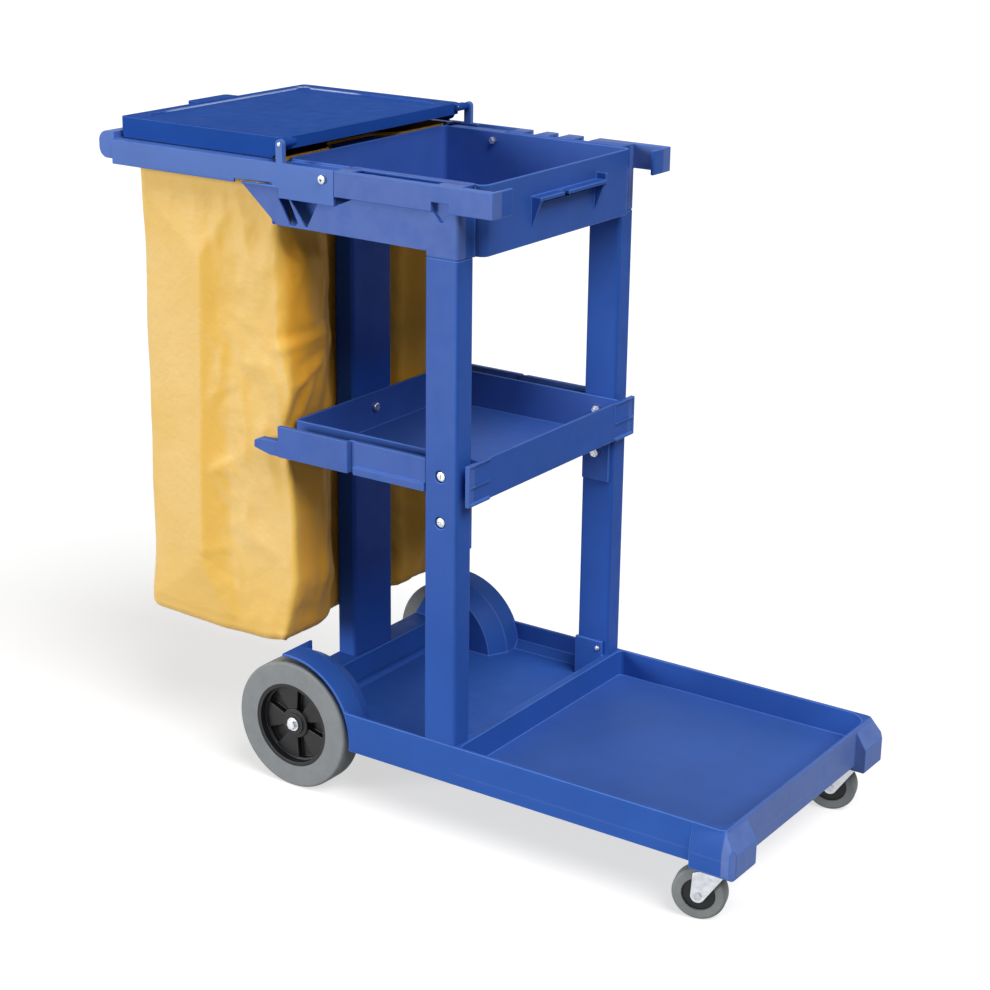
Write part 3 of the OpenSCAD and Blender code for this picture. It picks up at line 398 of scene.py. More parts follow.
@dataclass(frozen=True)
class PlatedSteel(Finish):
    """Zinc-plated or plain steel: cloudy plating with fine drawn marks."""

    roughness: float = 0.3
    cloud: float = 120.0
    marks: float = 1600.0
    mark_depth: float = 0.00006

    def paint(self, shader: Shader) -> None:
        """Paints clouds and drawn marks.

        Args:
            shader: The material's shader.
        """
        cloud = shader.speckle(self.cloud, 4.0, 0.6)
        marks = shader.speckle(self.marks, 2.0)
        tint = shader.blend(shader.ramp(cloud, 0.0, 1.0), shade(self.colour, 0.86), shade(self.colour, 1.08))
        shader.coat(tint, shader.ramp(cloud, self.roughness - 0.08, self.roughness + 0.12))
        shader.set(Metallic=1.0)
        shader.bump([(marks, 0.25, self.mark_depth)])


@dataclass(frozen=True)
class CoatedCloth(Finish):
    """Coated woven sheet: a fine weave under a soft sheen, with painted shade where it turns forward and a
    painted glow on its front panel.

    Each of the deeper ends holds its share below one height, its share above another, and the two heights;
    the ends lay the colour of the painted shade towards the foot and the hem.
    """

    deep: Colour
    painted_shade: Colour
    painted_glow: Colour
    roughness: float = 0.52
    specular: float = 0.22
    sheen: float = 0.15
    stain: float = 9.0
    crumple: float = 55.0
    crumple_depth: float = 0.003
    thread: float = 0.0011
    thread_depth: float = 0.0001
    painted_shade_at: Span = (0.02, 0.3)
    deep_ends: tuple[Gate, ...] = (
        (0.55, 0.0, 0.24, 0.36), (0.0, 0.4, 0.78, 0.87))
    painted_glow_zone: tuple[Band, Band] = (("X", -0.268, -0.1, 0.012), ("Y", -0.186, 0.186, 0.012))

    def paint(self, shader: Shader) -> None:
        """Paints stains, the painted shade where the cloth turns forward and at its ends, the painted glow on
        the front panel, crumples and the weave.

        Args:
            shader: The material's shader.
        """
        stain = shader.speckle(self.stain, 5.0, 0.62)
        crumple = shader.speckle(self.crumple, 4.0, 0.6)
        weave = []
        for direction in ("X", "Y"):
            scale = math.pi / (WAVE_RADIANS * self.thread)
            wave = shader.node("ShaderNodeTexWave", Scale=scale, Distortion=0.6)
            wave.wave_type = "BANDS"
            wave.bands_direction = direction
            shader.link(shader.place.outputs["UV"], wave.inputs["Vector"])
            weave.append(wave.outputs["Fac"])
        tint = shader.blend(shader.ramp(stain, 0.0, 1.0, 0.3, 0.7), self.deep, self.colour)
        # Painted shade: a deeper colour where the cloth's stored normal turns forward.
        facing = shader.tree.nodes.new("ShaderNodeAttribute")
        facing.attribute_name = FACING
        painted_shade = shader.ramp(facing.outputs["Fac"], 0.0, 1.0, *self.painted_shade_at)
        tint = shader.blend(painted_shade, tint, self.painted_shade)
        height = shader.coordinate("Z")
        # The colour of the painted shade, laid towards the foot and the hem.
        for shares in self.deep_ends:
            tint = shader.blend(shader.ramp(height, *shares), tint, self.painted_shade)
        # Painted glow: a strong orange on the front panel by the rear post, standing in for light through the
        # cloth in shade.
        painted_glow_zone = shader.product([shader.band(*band) for band in self.painted_glow_zone])
        shader.coat(shader.blend(painted_glow_zone, tint, self.painted_glow),
                    shader.ramp(crumple, self.roughness - 0.06, self.roughness + 0.08))
        shader.set(Specular_IOR_Level=self.specular, Sheen_Weight=self.sheen, Sheen_Roughness=0.5)
        shader.bump([(crumple, 0.5, self.crumple_depth),
                     (chain(shader.tree, "MAXIMUM", weave), 0.2, self.thread_depth)])


CART_COLOUR = from_srgb(44, 84, 165)
LID_TOP: Band = ("Z", 0.977, 0.99, 0.0003)
POST_HEIGHT: Band = ("Z", 0.64, 1.0, 0.36)
BASIN: Band = ("Y", -0.19, 0.19, 0.004)
BLUE = MouldedPlastic("blue_plastic", CART_COLOUR)
# Painted highlight: a paler, glossier colour on the rounded edges of the blue mouldings.
BLUE_EDGE = MouldedPlastic("blue_plastic_edge", from_srgb(66, 106, 184), roughness=0.42, specular=0.2)
# Painted light: the front face paler, a painted reflection, and the front bay's floor faintly paler, a
# painted haze.
DECK_BLUE = MouldedPlastic("deck_blue_plastic", from_srgb(45, 86, 166), painted_lights=(
    PaintedLight((("X", 0.534, 0.56, 0.002),), 0.15),
    PaintedLight((("Z", 0.104, 0.1065, 0.0005), ("X", 0.1, 0.53, 0.02)), 0.03)))
# Painted sheen: the outer sides of the posts paler towards the top.
POST_BLUE = MouldedPlastic("post_blue_plastic", CART_COLOUR,
                           painted_lights=side_painted_lights(0.2245, 0.23, 0.001, 0.05, POST_HEIGHT))
# Painted sheen on the outer sides, and painted haze faintly paler over the basin.
SHELF_BLUE = MouldedPlastic("shelf_blue_plastic", CART_COLOUR, painted_lights=(
    *side_painted_lights(0.205, 0.24, 0.003, 0.07), PaintedLight((BASIN, ("X", -0.26, 0.08, 0.02)), 0.03)))
# Painted sheen on the outer sides of the rails, and painted haze faintly paler over the basin.
TRAY_BLUE = MouldedPlastic("tray_blue_plastic", CART_COLOUR, painted_lights=(
    *side_painted_lights(0.21, 0.24, 0.004, 0.11), PaintedLight((BASIN, ("X", -0.26, 0.1, 0.02)), 0.03)))
# Painted sheen: a paler tint on the handle frame, standing in for the sheen on its upper near faces.
HANDLE_BLUE = MouldedPlastic("handle_blue_plastic", from_srgb(76, 109, 180), roughness=0.46, specular=0.2)
# Painted highlight: pale lines along the rear and far rims of the recess in the lid's top.
LID_BLUE = MouldedPlastic("lid_blue_plastic", from_srgb(32, 73, 151), roughness=0.6, specular=0.015, painted_lights=(
    PaintedLight((("X", -0.5010, -0.4986, 0.0006), ("Y", -0.12, 0.187, 0.02), LID_TOP)),
    PaintedLight((("Y", 0.1836, 0.1862, 0.0006), ("X", -0.5, -0.4, 0.02), LID_TOP))))
# Painted highlight: a paler colour on the lid's rounded edges.
LID_EDGE = MouldedPlastic("lid_blue_plastic_edge", from_srgb(52, 92, 172), roughness=0.5, specular=0.08)
HUB_BLACK = MouldedPlastic("black_plastic", from_srgb(15, 16, 18), roughness=0.42, specular=0.35)
# Painted highlight: a paler, glossier black on the hubs' rounded edges.
HUB_EDGE = MouldedPlastic("black_plastic_edge", from_srgb(28, 29, 31), roughness=0.38, specular=0.4)
TYRE = GreyRubber("tyre_rubber", from_srgb(128, 132, 134))
CASTER_TREAD = GreyRubber("caster_rubber", from_srgb(122, 126, 127))
ZINC = PlatedSteel("zinc_plate", from_srgb(206, 209, 214), roughness=0.36)
STEEL = PlatedSteel("plain_steel", from_srgb(186, 188, 194), roughness=0.28)
# Lit and shaded copies of one cloth: the pale colour for the lit near side, a painted shade colour where it
# turns forward and a painted glow on the front panel.
BAG_CLOTH = CoatedCloth("bag_cloth", from_srgb(232, 197, 126), deep=from_srgb(228, 187, 104),
                        painted_shade=from_srgb(230, 184, 86), painted_glow=from_srgb(252, 180, 52))
BAG_THREAD = GreyRubber("bag_thread", from_srgb(214, 164, 74), roughness=0.7)


def new_object(name: str, mesh: bpy.types.Mesh) -> Piece:
    """Puts a mesh in the scene as an object at the origin.

    Args:
        name: The object's name.
        mesh: Its mesh, with its place in it.

    Returns:
        The new object.
    """
    piece = bpy.data.objects.new(name, mesh)
    bpy.context.scene.collection.objects.link(piece)
    return piece


def from_work(name: str, work: Work, smooth: bool = True) -> Piece:
    """Turns a worked mesh into an object and frees it.

    Args:
        name: The object's name.
        work: The worked mesh.
        smooth: Whether its faces are shaded smooth.

    Returns:
        The new object.
    """
    for face in work.faces:
        face.smooth = smooth
    mesh = bpy.data.meshes.new(name)
    work.to_mesh(mesh)
    work.free()
    return new_object(name, mesh)


def bridge(work: Work, low: Ring, high: Ring) -> None:
    """Joins two closed rings by faces.

    Args:
        work: The mesh that the rings are in.
        low: The first ring.
        high: The second ring, with as many vertices.
    """
    for k in range(len(low)):
        after = (k + 1) % len(low)
        work.faces.new((low[k], low[after], high[after], high[k]))


def settle(piece: Piece) -> None:
    """Turns a piece's modifiers into plain mesh.

    Args:
        piece: The piece, with its modifiers.
    """
    graph = bpy.context.evaluated_depsgraph_get()
    mesh = bpy.data.meshes.new_from_object(piece.evaluated_get(graph), depsgraph=graph)
    piece.modifiers.clear()
    piece.data = mesh


def mount(piece: Piece, body: Body, slot: Slot, *stands_for: str) -> None:
    """Joins a finished piece to the cart.

    Args:
        piece: The piece.
        body: The body that carries it.
        slot: The record's slot of its finish; not used.
        stands_for: The solids that it is shown in place of.
    """
    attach(piece, body.value)
    if stands_for:
        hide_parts(*stands_for)
    LOG.info("%s: %d faces on %s", piece.name, len(piece.data.polygons), body.value)


@dataclass
class SoftenedSolid:
    """A solid of the frame whose sharp edges are rounded, as on the moulded or pressed piece; an edge finish,
    where given, paints a highlight on the rounded edges.
    """

    node: str
    body: Body
    slot: Slot
    finish: Finish
    edge_finish: Finish | None
    edge: float
    steps: int = 2
    sharp: float = math.radians(28)
    room: float = 2.2
    weld: float = 0.004 * MM
    flat: float = math.radians(0.4)
    crisp: float = math.radians(40)

    def build(self) -> None:
        """Builds the softened copy and shows it in place of the solid."""
        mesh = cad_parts[self.node].data.copy()
        mesh.materials.clear()
        work = bmesh.new()
        work.from_mesh(mesh)
        bmesh.ops.remove_doubles(work, verts=work.verts, dist=self.weld)
        bmesh.ops.dissolve_limit(work, angle_limit=self.flat, verts=work.verts, edges=work.edges)
        for face in work.faces:
            face.smooth = True
            face.material_index = 0
        edges = [e for e in work.edges if self.is_rounded(e)]
        # The rounded faces take the edge finish where one is given: a painted highlight along the edges.
        bmesh.ops.bevel(work, geom=edges, offset=self.edge, offset_type="OFFSET", segments=self.steps,
                        profile=0.5, affect="EDGES", clamp_overlap=False, loop_slide=True,
                        material=1 if self.edge_finish else -1)
        bmesh.ops.triangulate(work, faces=[f for f in work.faces if len(f.verts) > 4])
        work.to_mesh(mesh)
        work.free()
        mesh.materials.append(self.finish.material())
        if self.edge_finish:
            mesh.materials.append(self.edge_finish.material())
        mesh.set_sharp_from_angle(angle=self.crisp)
        piece = new_object(f"{self.node}_piece", mesh)
        weigh = piece.modifiers.new("flat_faces", "WEIGHTED_NORMAL")
        weigh.keep_sharp = True
        weigh.weight = 100
        settle(piece)
        mount(piece, self.body, self.slot, self.node)

    def is_rounded(self, edge: bmesh.types.BMEdge) -> bool:
        """Tells whether an edge is sharp and has room on both faces for its rounding.

        Args:
            edge: The edge to test.

        Returns:
            True if the edge is rounded.
        """
        if len(edge.link_faces) != 2 or edge.calc_face_angle(0.0) < self.sharp:
            return False
        return all(self.depth_of(face, edge) > self.room * self.edge for face in edge.link_faces)

    @staticmethod
    def depth_of(face: bmesh.types.BMFace, edge: bmesh.types.BMEdge) -> float:
        """Measures how far a face reaches from one of its edges.

        Args:
            face: The face.
            edge: One of its edges.

        Returns:
            The largest distance from the edge's line to the face's corners.
        """
        start = edge.verts[0].co
        along = (edge.verts[1].co - start).normalized()
        offsets = [corner.co - start for corner in face.verts]
        return max((offset - along * offset.dot(along)).length for offset in offsets)


@dataclass
class SolidTyre:
    """A solid rubber tyre turned from its section, with soft shoulders."""

    node: str
    body: Body
    slot: Slot
    finish: GreyRubber
    centre: Vector
    axis: Vector
    inner_r: float
    outer_r: float
    width: float
    shoulder: float
    lip: float = 1.2 * MM
    bend: int = 8
    steps: int = 144
    crisp: float = math.radians(38)

    def section(self) -> list[Span]:
        """Draws the tyre's closed section.

        Returns:
            Points of radius and distance from the mid-plane.
        """
        half = self.width / 2
        points = [(self.inner_r, -half), (self.inner_r + self.lip, -half)]
        for i in range(self.bend + 1):
            turn = math.pi / 2 * i / self.bend
            points.append((self.outer_r - self.shoulder * (1 - math.sin(turn)),
                           -half + self.shoulder * (1 - math.cos(turn))))
        mirrored = [(r, -a) for r, a in reversed(points)]
        return [*points, (self.outer_r, 0.0), *mirrored]

    def build(self) -> None:
        """Turns the section about the axle and shows the tyre in place of its solid."""
        out = self.axis.orthogonal().normalized()
        across = self.axis.cross(out)
        section = self.section()
        work = bmesh.new()
        rings: list[Ring] = []
        for step in range(self.steps):
            angle = math.tau * step / self.steps
            radial = out * math.cos(angle) + across * math.sin(angle)
            rings.append([work.verts.new(self.centre + radial * r + self.axis * a) for r, a in section])
        for step, ring in enumerate(rings):
            bridge(work, ring, rings[(step + 1) % self.steps])
        bmesh.ops.recalc_face_normals(work, faces=work.faces)
        tyre = from_work(f"{self.node}_piece", work)
        tyre.data.set_sharp_from_angle(angle=self.crisp)
        tyre.data.materials.append(self.finish.material())
        mount(tyre, self.body, self.slot, self.node)


class GeometryTree:
    """Builds a Geometry Nodes tree and runs it on an object."""

    def __init__(self, name: str) -> None:
        """Makes an empty tree with a geometry input and output.

        Args:
            name: The tree's name.
        """
        self.tree = bpy.data.node_groups.new(name, "GeometryNodeTree")
        for way in ("INPUT", "OUTPUT"):
            self.tree.interface.new_socket("Geometry", in_out=way, socket_type="NodeSocketGeometry")
        self.given = self.node("NodeGroupInput")
        self.result = self.node("NodeGroupOutput")

    def input(self, name: str, kind: str) -> str:
        """Adds a named input and returns its identifier."""
        return self.tree.interface.new_socket(name, in_out="INPUT", socket_type=kind).identifier

    def node(self, kind: str) -> Node:
        """Adds a node of a type."""
        return self.tree.nodes.new(kind)

    def link(self, source: Node, output: str, target: Node, entry: str) -> None:
        """Joins an output of a node to an input of another."""
        self.tree.links.new(source.outputs[output], target.inputs[entry])

    def scatter(self, points: Node, shape: Node, facing: Socket, finish: Finish) -> None:
        """Sets a shape on every point, turned to a direction, and ends the tree.

        Args:
            points: The node whose first geometry output holds the points.
            shape: The node whose geometry output holds the shape, along +Z.
            facing: The direction of each copy.
            finish: The finish of the copies.
        """
        turn = self.node("FunctionNodeAlignRotationToVector")
        turn.axis = "Z"
        spread = self.node("GeometryNodeInstanceOnPoints")
        real = self.node("GeometryNodeRealizeInstances")
        paint = self.node("GeometryNodeSetMaterial")
        paint.inputs["Material"].default_value = finish.material()
        for source, entry in ((points, "Points"), (shape, "Instance")):
            self.tree.links.new(next(s for s in source.outputs if s.type == "GEOMETRY"), spread.inputs[entry])
        self.tree.links.new(facing, turn.inputs["Vector"])
        self.link(turn, "Rotation", spread, "Rotation")
        self.link(spread, "Instances", real, "Geometry")
        self.link(real, "Geometry", paint, "Geometry")
        self.link(paint, "Geometry", self.result, "Geometry")

    def run(self, piece: Piece, values: dict[str, object]) -> None:
        """Runs the tree on a piece and keeps the result as plain mesh.

        Args:
            piece: The object that the tree starts from.
            values: Input values by socket identifier.
        """
        modifier = piece.modifiers.new(self.tree.name, "NODES")
        modifier.node_group = self.tree
        for identifier, value in values.items():
            modifier[identifier] = value
        settle(piece)


@dataclass
class ScrewHeads:
    """Domed caps with a cross recess, repeated on the heads of bolts and screws."""

    name: str
    body: Body
    places: list[tuple[Vector, Vector]]
    radius: float
    recess: float = 1.0 * MM
    dome: float = 1.0 * MM
    skirt: float = 0.2 * MM
    slopes: tuple[float, ...] = (88, 76, 62, 46, 30, 14)
    steps: int = 32
    arm_share: float = 0.62
    slit_share: float = 0.14
    taper: float = 0.8
    crisp: float = math.radians(35)

    def cap(self) -> Piece:
        """Makes one cap about +Z, with its cross recess cut in.

        Returns:
            The cap, not yet part of the scene's result.
        """
        work = bmesh.new()
        turns = [math.tau * k / self.steps for k in range(self.steps)]
        rise = [(self.radius * math.sin(a), self.dome * math.cos(a)) for a in map(math.radians, self.slopes)]
        rows = [[work.verts.new((r * math.cos(turn), r * math.sin(turn), z)) for turn in turns]
                for r, z in [(self.radius, -self.skirt), *rise]]
        for low, high in zip(rows, rows[1:]):
            bridge(work, low, high)
        work.faces.new(rows[-1])
        work.faces.new(rows[0][::-1])
        cap = from_work(f"{self.name}_cap", work)
        cutter = self.cross()
        cut = cap.modifiers.new("recess", "BOOLEAN")
        cut.operation = "DIFFERENCE"
        cut.solver = "EXACT"
        cut.object = cutter
        settle(cap)
        cap.data.set_sharp_from_angle(angle=self.crisp)
        bpy.data.objects.remove(cutter)
        return cap

    def cross(self) -> Piece:
        """Makes the cross-shaped cutter of the recess.

        Returns:
            The cutter.
        """
        arm = self.radius * self.arm_share
        half = self.radius * self.slit_share
        outline = [(arm, half), (half, half), (half, arm), (-half, arm), (-half, half), (-arm, half),
                   (-arm, -half), (-half, -half), (-half, -arm), (half, -arm), (half, -half), (arm, -half)]
        work = bmesh.new()
        low = [work.verts.new((x * self.taper, y * self.taper, self.dome - self.recess)) for x, y in outline]
        high = [work.verts.new((x, y, self.dome + self.recess)) for x, y in outline]
        work.faces.new(low[::-1])
        work.faces.new(high)
        bridge(work, low, high)
        bmesh.ops.recalc_face_normals(work, faces=work.faces)
        return from_work(f"{self.name}_cross", work, smooth=False)

    def build(self) -> None:
        """Sets a cap on every place."""
        cap = self.cap()
        mesh = bpy.data.meshes.new(self.name)
        mesh.from_pydata([p for p, _ in self.places], [], [])
        facing = mesh.attributes.new(FACING, "FLOAT_VECTOR", "POINT")
        for item, (_, direction) in zip(facing.data, self.places):
            item.vector = direction
        piece = new_object(self.name, mesh)
        graph = GeometryTree(f"{self.name}_tree")
        cap_id = graph.input("Cap", "NodeSocketObject")
        read = graph.node("GeometryNodeInputNamedAttribute")
        read.data_type = "FLOAT_VECTOR"
        read.inputs["Name"].default_value = FACING
        shape = graph.node("GeometryNodeObjectInfo")
        graph.link(graph.given, "Cap", shape, "Object")
        graph.scatter(graph.given, shape, read.outputs["Attribute"], ZINC)
        graph.run(piece, {cap_id: cap})
        bpy.data.objects.remove(cap)
        mount(piece, self.body, Slot.ZINC)


def smooth_step(low: float, high: float, value: float) -> float:
    """Rises from 0 at low to 1 at high without a kink."""
    share = min(1.0, max(0.0, (value - low) / (high - low)))
    return share * share * (3 - 2 * share)


def plateau(start: float, top: float, end: float, foot: float, value: float) -> float:
    """Rises from 0 at start to 1 at top and falls from 1 at end to 0 at foot."""
    return smooth_step(start, top, value) * smooth_step(foot, end, value)


@dataclass(frozen=True)
class Crease:
    """A fold line on one side of the bag, in millimetres along the side and up."""

    start: Span
    end: Span
    width: float
    height: float

    def push(self, along: float, up: float) -> float:
        """Measures how far the crease pushes a point out.

        Args:
            along: Place along the side.
            up: Height.

        Returns:
            The push.
        """
        (ax, az), (bx, bz) = self.start, self.end
        dx, dz = bx - ax, bz - az
        length = math.hypot(dx, dz)
        share = ((along - ax) * dx + (up - az) * dz) / (length * length)
        beyond = max(0.0, -share, share - 1) * length
        side = abs((along - ax) * dz - (up - az) * dx) / length
        return self.height * math.exp(-(side / self.width) ** 1.25 - (beyond / (2 * self.width)) ** 2)


@dataclass(frozen=True)
class Ripple:
    """A waviness of the cloth, by its depth and length in millimetres and its place in the noise."""

    depth: float
    length: float
    shift: Point = (0, 0, 0)

    def push(self, here: Vector) -> float:
        """Returns the wave's height at a point."""
        return self.depth * noise.noise(here / self.length + Vector(self.shift))


@dataclass
class WasteBag:
    """The hanging waste bag: a lofted shell of coated cloth with side folds, wrinkles and a sewn hem.

    Sizes and places are in millimetres.
    """

    rear_x: float = -501.5
    front_x: float = -232.0
    side_y: float = 200.5
    rear_r: float = 19.0
    front_r: float = 11.0
    corner_steps: int = 12
    hem_grow: float = 2.0
    hem_fade: Span = (-46.0, -6.0)
    hollow_depth: float = 30.0
    hollow_half: float = 58.0
    hollow_fade: Span = (-6.0, 34.0)
    hollow_steps: int = 60
    top_z: float = 950.0
    hem_z: float = 920.0
    bottom_z: float = 211.0
    bottom_r: float = 18.0
    bottom_steps: int = 10
    bottom_sag: float = 6.0
    bottom_wave: float = 2.5
    bottom_shares: tuple[float, ...] = (0.82, 0.62, 0.42, 0.24, 0.1)
    bottom_pitch: float = 24.0
    cloth: float = 0.7
    around: int = 280
    rows: int = 158
    ridge_top: Span = (-373.0, 790.0)
    ridge_foot: Span = (-387.0, 325.0)
    ridge_ends: Span = (36.0, 12.0)
    ridge_out: float = 13.0
    ridge_fall: float = 31.0
    far_ridge: float = 0.9
    rear_bulge: float = 5.0
    rear_bulge_z: Span = (900.0, 600.0)
    front_bulge: float = 25.0
    bulge_x: Span = (-305.0, -240.0)
    bulge_y: Span = (96.0, 132.0)
    bulge_z: Gate = (212.0, 330.0, 600.0, 700.0)
    shoulder_z: Gate = (610.0, 700.0, 790.0, 850.0)
    shoulder_round: float = 52.0
    shelf_z: float = 538.0
    shelf_half: float = 62.0
    shelf_hold: float = 0.85
    flare: float = 11.0
    flare_x: Span = (-440.0, -500.0)
    flare_z: Span = (226.0, 330.0)
    lift: float = 7.0
    lift_x: Span = (-300.0, -235.0)
    lift_z: Span = (211.0, 300.0)
    dip: float = 6.0
    dip_x: float = -330.0
    dip_half: float = 90.0
    dip_z: Span = (211.0, 290.0)
    worked_x: Span = (-385.0, -335.0)
    worked_least: float = 0.12
    ripples: tuple[Ripple, ...] = (Ripple(1.8, 95), Ripple(1.0, 42, (7, 3, 1)))
    crumples: tuple[Ripple, ...] = (Ripple(7.0, 58, (2, 9, 5)), Ripple(3.0, 26, (11, 4, 8)))
    stitch_rows: Span = (4.0, 9.0)
    stitch_pitch: float = 4.2
    stitch_length: float = 3.0
    stitch_r: float = 0.35
    stitch_inset: float = 0.25
    near_creases: tuple[Crease, ...] = (
        Crease((-240, 672), (-148, 694), 7, 4.0), Crease((-232, 690), (-160, 708), 9, -2.6),
        Crease((-216, 622), (-180, 642), 6, 4.5), Crease((-180, 642), (-204, 572), 6, 4.0),
        Crease((-206, 650), (-176, 660), 7, -2.6), Crease((-214, 600), (-224, 566), 8, -3.0),
        Crease((-205, 830), (-196, 700), 12, 3.0), Crease((-176, 820), (-170, 720), 10, -3.0),
        Crease((-300, 640), (-262, 560), 16, -2.4), Crease((-268, 640), (-248, 570), 9, 2.6),
        Crease((-352, 590), (-325, 604), 7, 1.5), Crease((-330, 690), (-300, 640), 12, 1.6),
        Crease((-360, 470), (-325, 492), 8, 1.8), Crease((-330, 540), (-290, 480), 14, 1.8),
        Crease((-378, 338), (-350, 345), 7, 1.6), Crease((-380, 322), (-340, 300), 8, -1.5),
        Crease((-222, 500), (-214, 430), 12, -2.5), Crease((-262, 480), (-250, 300), 14, 2.0),
        Crease((-238, 226), (-222, 290), 12, 3.0), Crease((-440, 905), (-434, 840), 7, 1.4),
        Crease((-395, 900), (-388, 850), 6, 1.2), Crease((-330, 905), (-345, 850), 7, 1.5),
        Crease((-490, 231), (-240, 231), 4, -1.2), Crease((-150, 640), (-90, 700), 16, 3.5),
        Crease((-160, 480), (-100, 560), 18, 3.0), Crease((-150, 330), (-80, 260), 20, 3.0),
        Crease((-180, 300), (-175, 520), 13, -2.4))
    far_creases: tuple[Crease, ...] = (
        Crease((-360, 620), (-280, 520), 18, 2.6), Crease((-470, 500), (-410, 420), 16, 2.4),
        Crease((-330, 905), (-345, 850), 7, 1.5), Crease((-440, 905), (-434, 840), 7, 1.4))
    front_creases: tuple[Crease, ...] = (
        Crease((180, 690), (100, 610), 18, 3.5), Crease((180, 470), (90, 530), 18, 3.0),
        Crease((160, 300), (80, 370), 18, 3.0))
    rear_creases: tuple[Crease, ...] = (
        Crease((-170, 860), (-40, 760), 24, 3.4), Crease((170, 850), (50, 740), 22, 3.2),
        Crease((-150, 420), (-20, 560), 26, 3.0), Crease((150, 360), (30, 480), 24, 3.0),
        Crease((-160, 240), (-60, 320), 20, 3.0))

    def plan(self) -> list[Vector]:
        """Draws the bag's plan.

        Returns:
            Evenly spaced points, anticlockwise from the rear.
        """
        low = Vector((self.rear_x, -self.side_y))
        high = Vector((self.front_x, self.side_y))
        back, face = self.rear_r, self.front_r
        corners = [(low.x + back, low.y + back, back, 180), (high.x - face, low.y + face, face, 270),
                   (high.x - face, high.y - face, face, 0), (low.x + back, high.y - back, back, 90)]
        outline: list[Vector] = []
        for index, (cx, cy, r, start) in enumerate(corners):
            for step in range(self.corner_steps + 1):
                angle = math.radians(start + 90 * step / self.corner_steps)
                outline.append(Vector((cx + r * math.cos(angle), cy + r * math.sin(angle))))
            if index == 1:
                reach = self.side_y - face
                for step in range(1, self.hollow_steps):
                    y = -reach + 2 * reach * step / self.hollow_steps
                    outline.append(Vector((self.front_x - self.hollow_depth * self.hollow(y), y)))
        return self.even(outline)

    def hollow(self, y: float) -> float:
        """Gives the share of the hollow round the rear post at a place across the front."""
        inner, outer = (self.hollow_half + fade for fade in self.hollow_fade)
        return 1 - smooth_step(inner, outer, abs(y))

    def even(self, outline: list[Vector]) -> list[Vector]:
        """Spaces the points of a closed outline evenly.

        Args:
            outline: The outline's points.

        Returns:
            As many points as the bag has round its mouth.
        """
        lengths = [(outline[(i + 1) % len(outline)] - p).length for i, p in enumerate(outline)]
        total = sum(lengths)
        points: list[Vector] = []
        index, walked = 0, 0.0
        for k in range(self.around):
            target = total * k / self.around
            while walked + lengths[index] < target:
                walked += lengths[index]
                index += 1
            share = (target - walked) / lengths[index]
            points.append(outline[index].lerp(outline[(index + 1) % len(outline)], share))
        return points

    @staticmethod
    def perimeter(plan: list[Vector]) -> float:
        """Returns the length round a plan."""
        return sum((plan[(k + 1) % len(plan)] - p).length for k, p in enumerate(plan))

    @staticmethod
    def outward(plan: list[Vector]) -> list[Vector]:
        """Returns the outward direction at each point of a plan."""
        runs = [plan[(k + 1) % len(plan)] - plan[k - 1] for k in range(len(plan))]
        return [Vector((run.y, -run.x)).normalized() for run in runs]

    def side_fold(self, x: float, z: float) -> float:
        """Measures the push of the pleat down a side, a ridge with hips to the hem and the bottom.

        Args:
            x: Place along the side.
            z: Height.

        Returns:
            The push.
        """
        (top_x, top_z), (foot_x, foot_z) = self.ridge_top, self.ridge_foot
        share = min(1.2, max(-0.2, (z - foot_z) / (top_z - foot_z)))
        ridge = foot_x + (top_x - foot_x) * share
        high, low = self.hem_z - self.ridge_ends[0], self.bottom_z + self.ridge_ends[1]
        ends = max(0.0, min(1.0, (high - z) / (high - top_z), (z - low) / (foot_z - low)))
        rear = max(0.0, (x - self.rear_x) / (ridge - self.rear_x))
        fall = math.exp((ridge - x) / self.ridge_fall)
        return self.ridge_out * min(rear, fall, ends)

    def push(self, place: Vector, normal: Vector, along: float, z: float) -> float:
        """Adds up folds, wrinkles and sag at a point of the bag's side.

        Args:
            place: Place in the plan.
            normal: The plan's outward direction there.
            along: Place along the cloth, which is x on the near side.
            z: Height.

        Returns:
            The push along the normal.
        """
        near, far = max(0.0, -normal.y), max(0.0, normal.y)
        front, rear = max(0.0, normal.x), max(0.0, -normal.x)
        least, square = 0.05, 0.9
        total = 0.0
        if along < 0 and (near > 0.3 or front > 0.5) and place.y < self.hollow_half:
            total += sum(c.push(along, z) for c in self.near_creases)
        if near > square and place.x < self.front_x - self.front_r + 4:
            total += near * self.side_fold(place.x, z)
        if far > least:
            total += far * sum(c.push(place.x, z) for c in self.far_creases)
            total += far * self.far_ridge * self.side_fold(place.x, z) if far > square else 0.0
        if front > least:
            total += front * sum(c.push(place.y, z) for c in self.front_creases)
        if rear > least:
            total += rear * sum(c.push(place.y, z) for c in self.rear_creases)
            hang = math.cos(place.y / self.side_y * math.pi / 2) * smooth_step(*self.rear_bulge_z, z)
            total += rear * self.rear_bulge * hang
        here = Vector((place.x, place.y, z * 0.55))
        total += sum(ripple.push(here) for ripple in self.ripples)
        worked = self.worked_least + (1 - self.worked_least) * smooth_step(*self.worked_x, place.x)
        if near < 0.5:
            worked = 1.0 - 0.6 * rear
        total -= worked * sum(abs(ripple.push(here)) for ripple in self.crumples)
        hem = 1 - smooth_step(*(self.hem_z + fade for fade in self.hem_fade), z)
        return total * hem + self.hem_grow * (1 - hem)

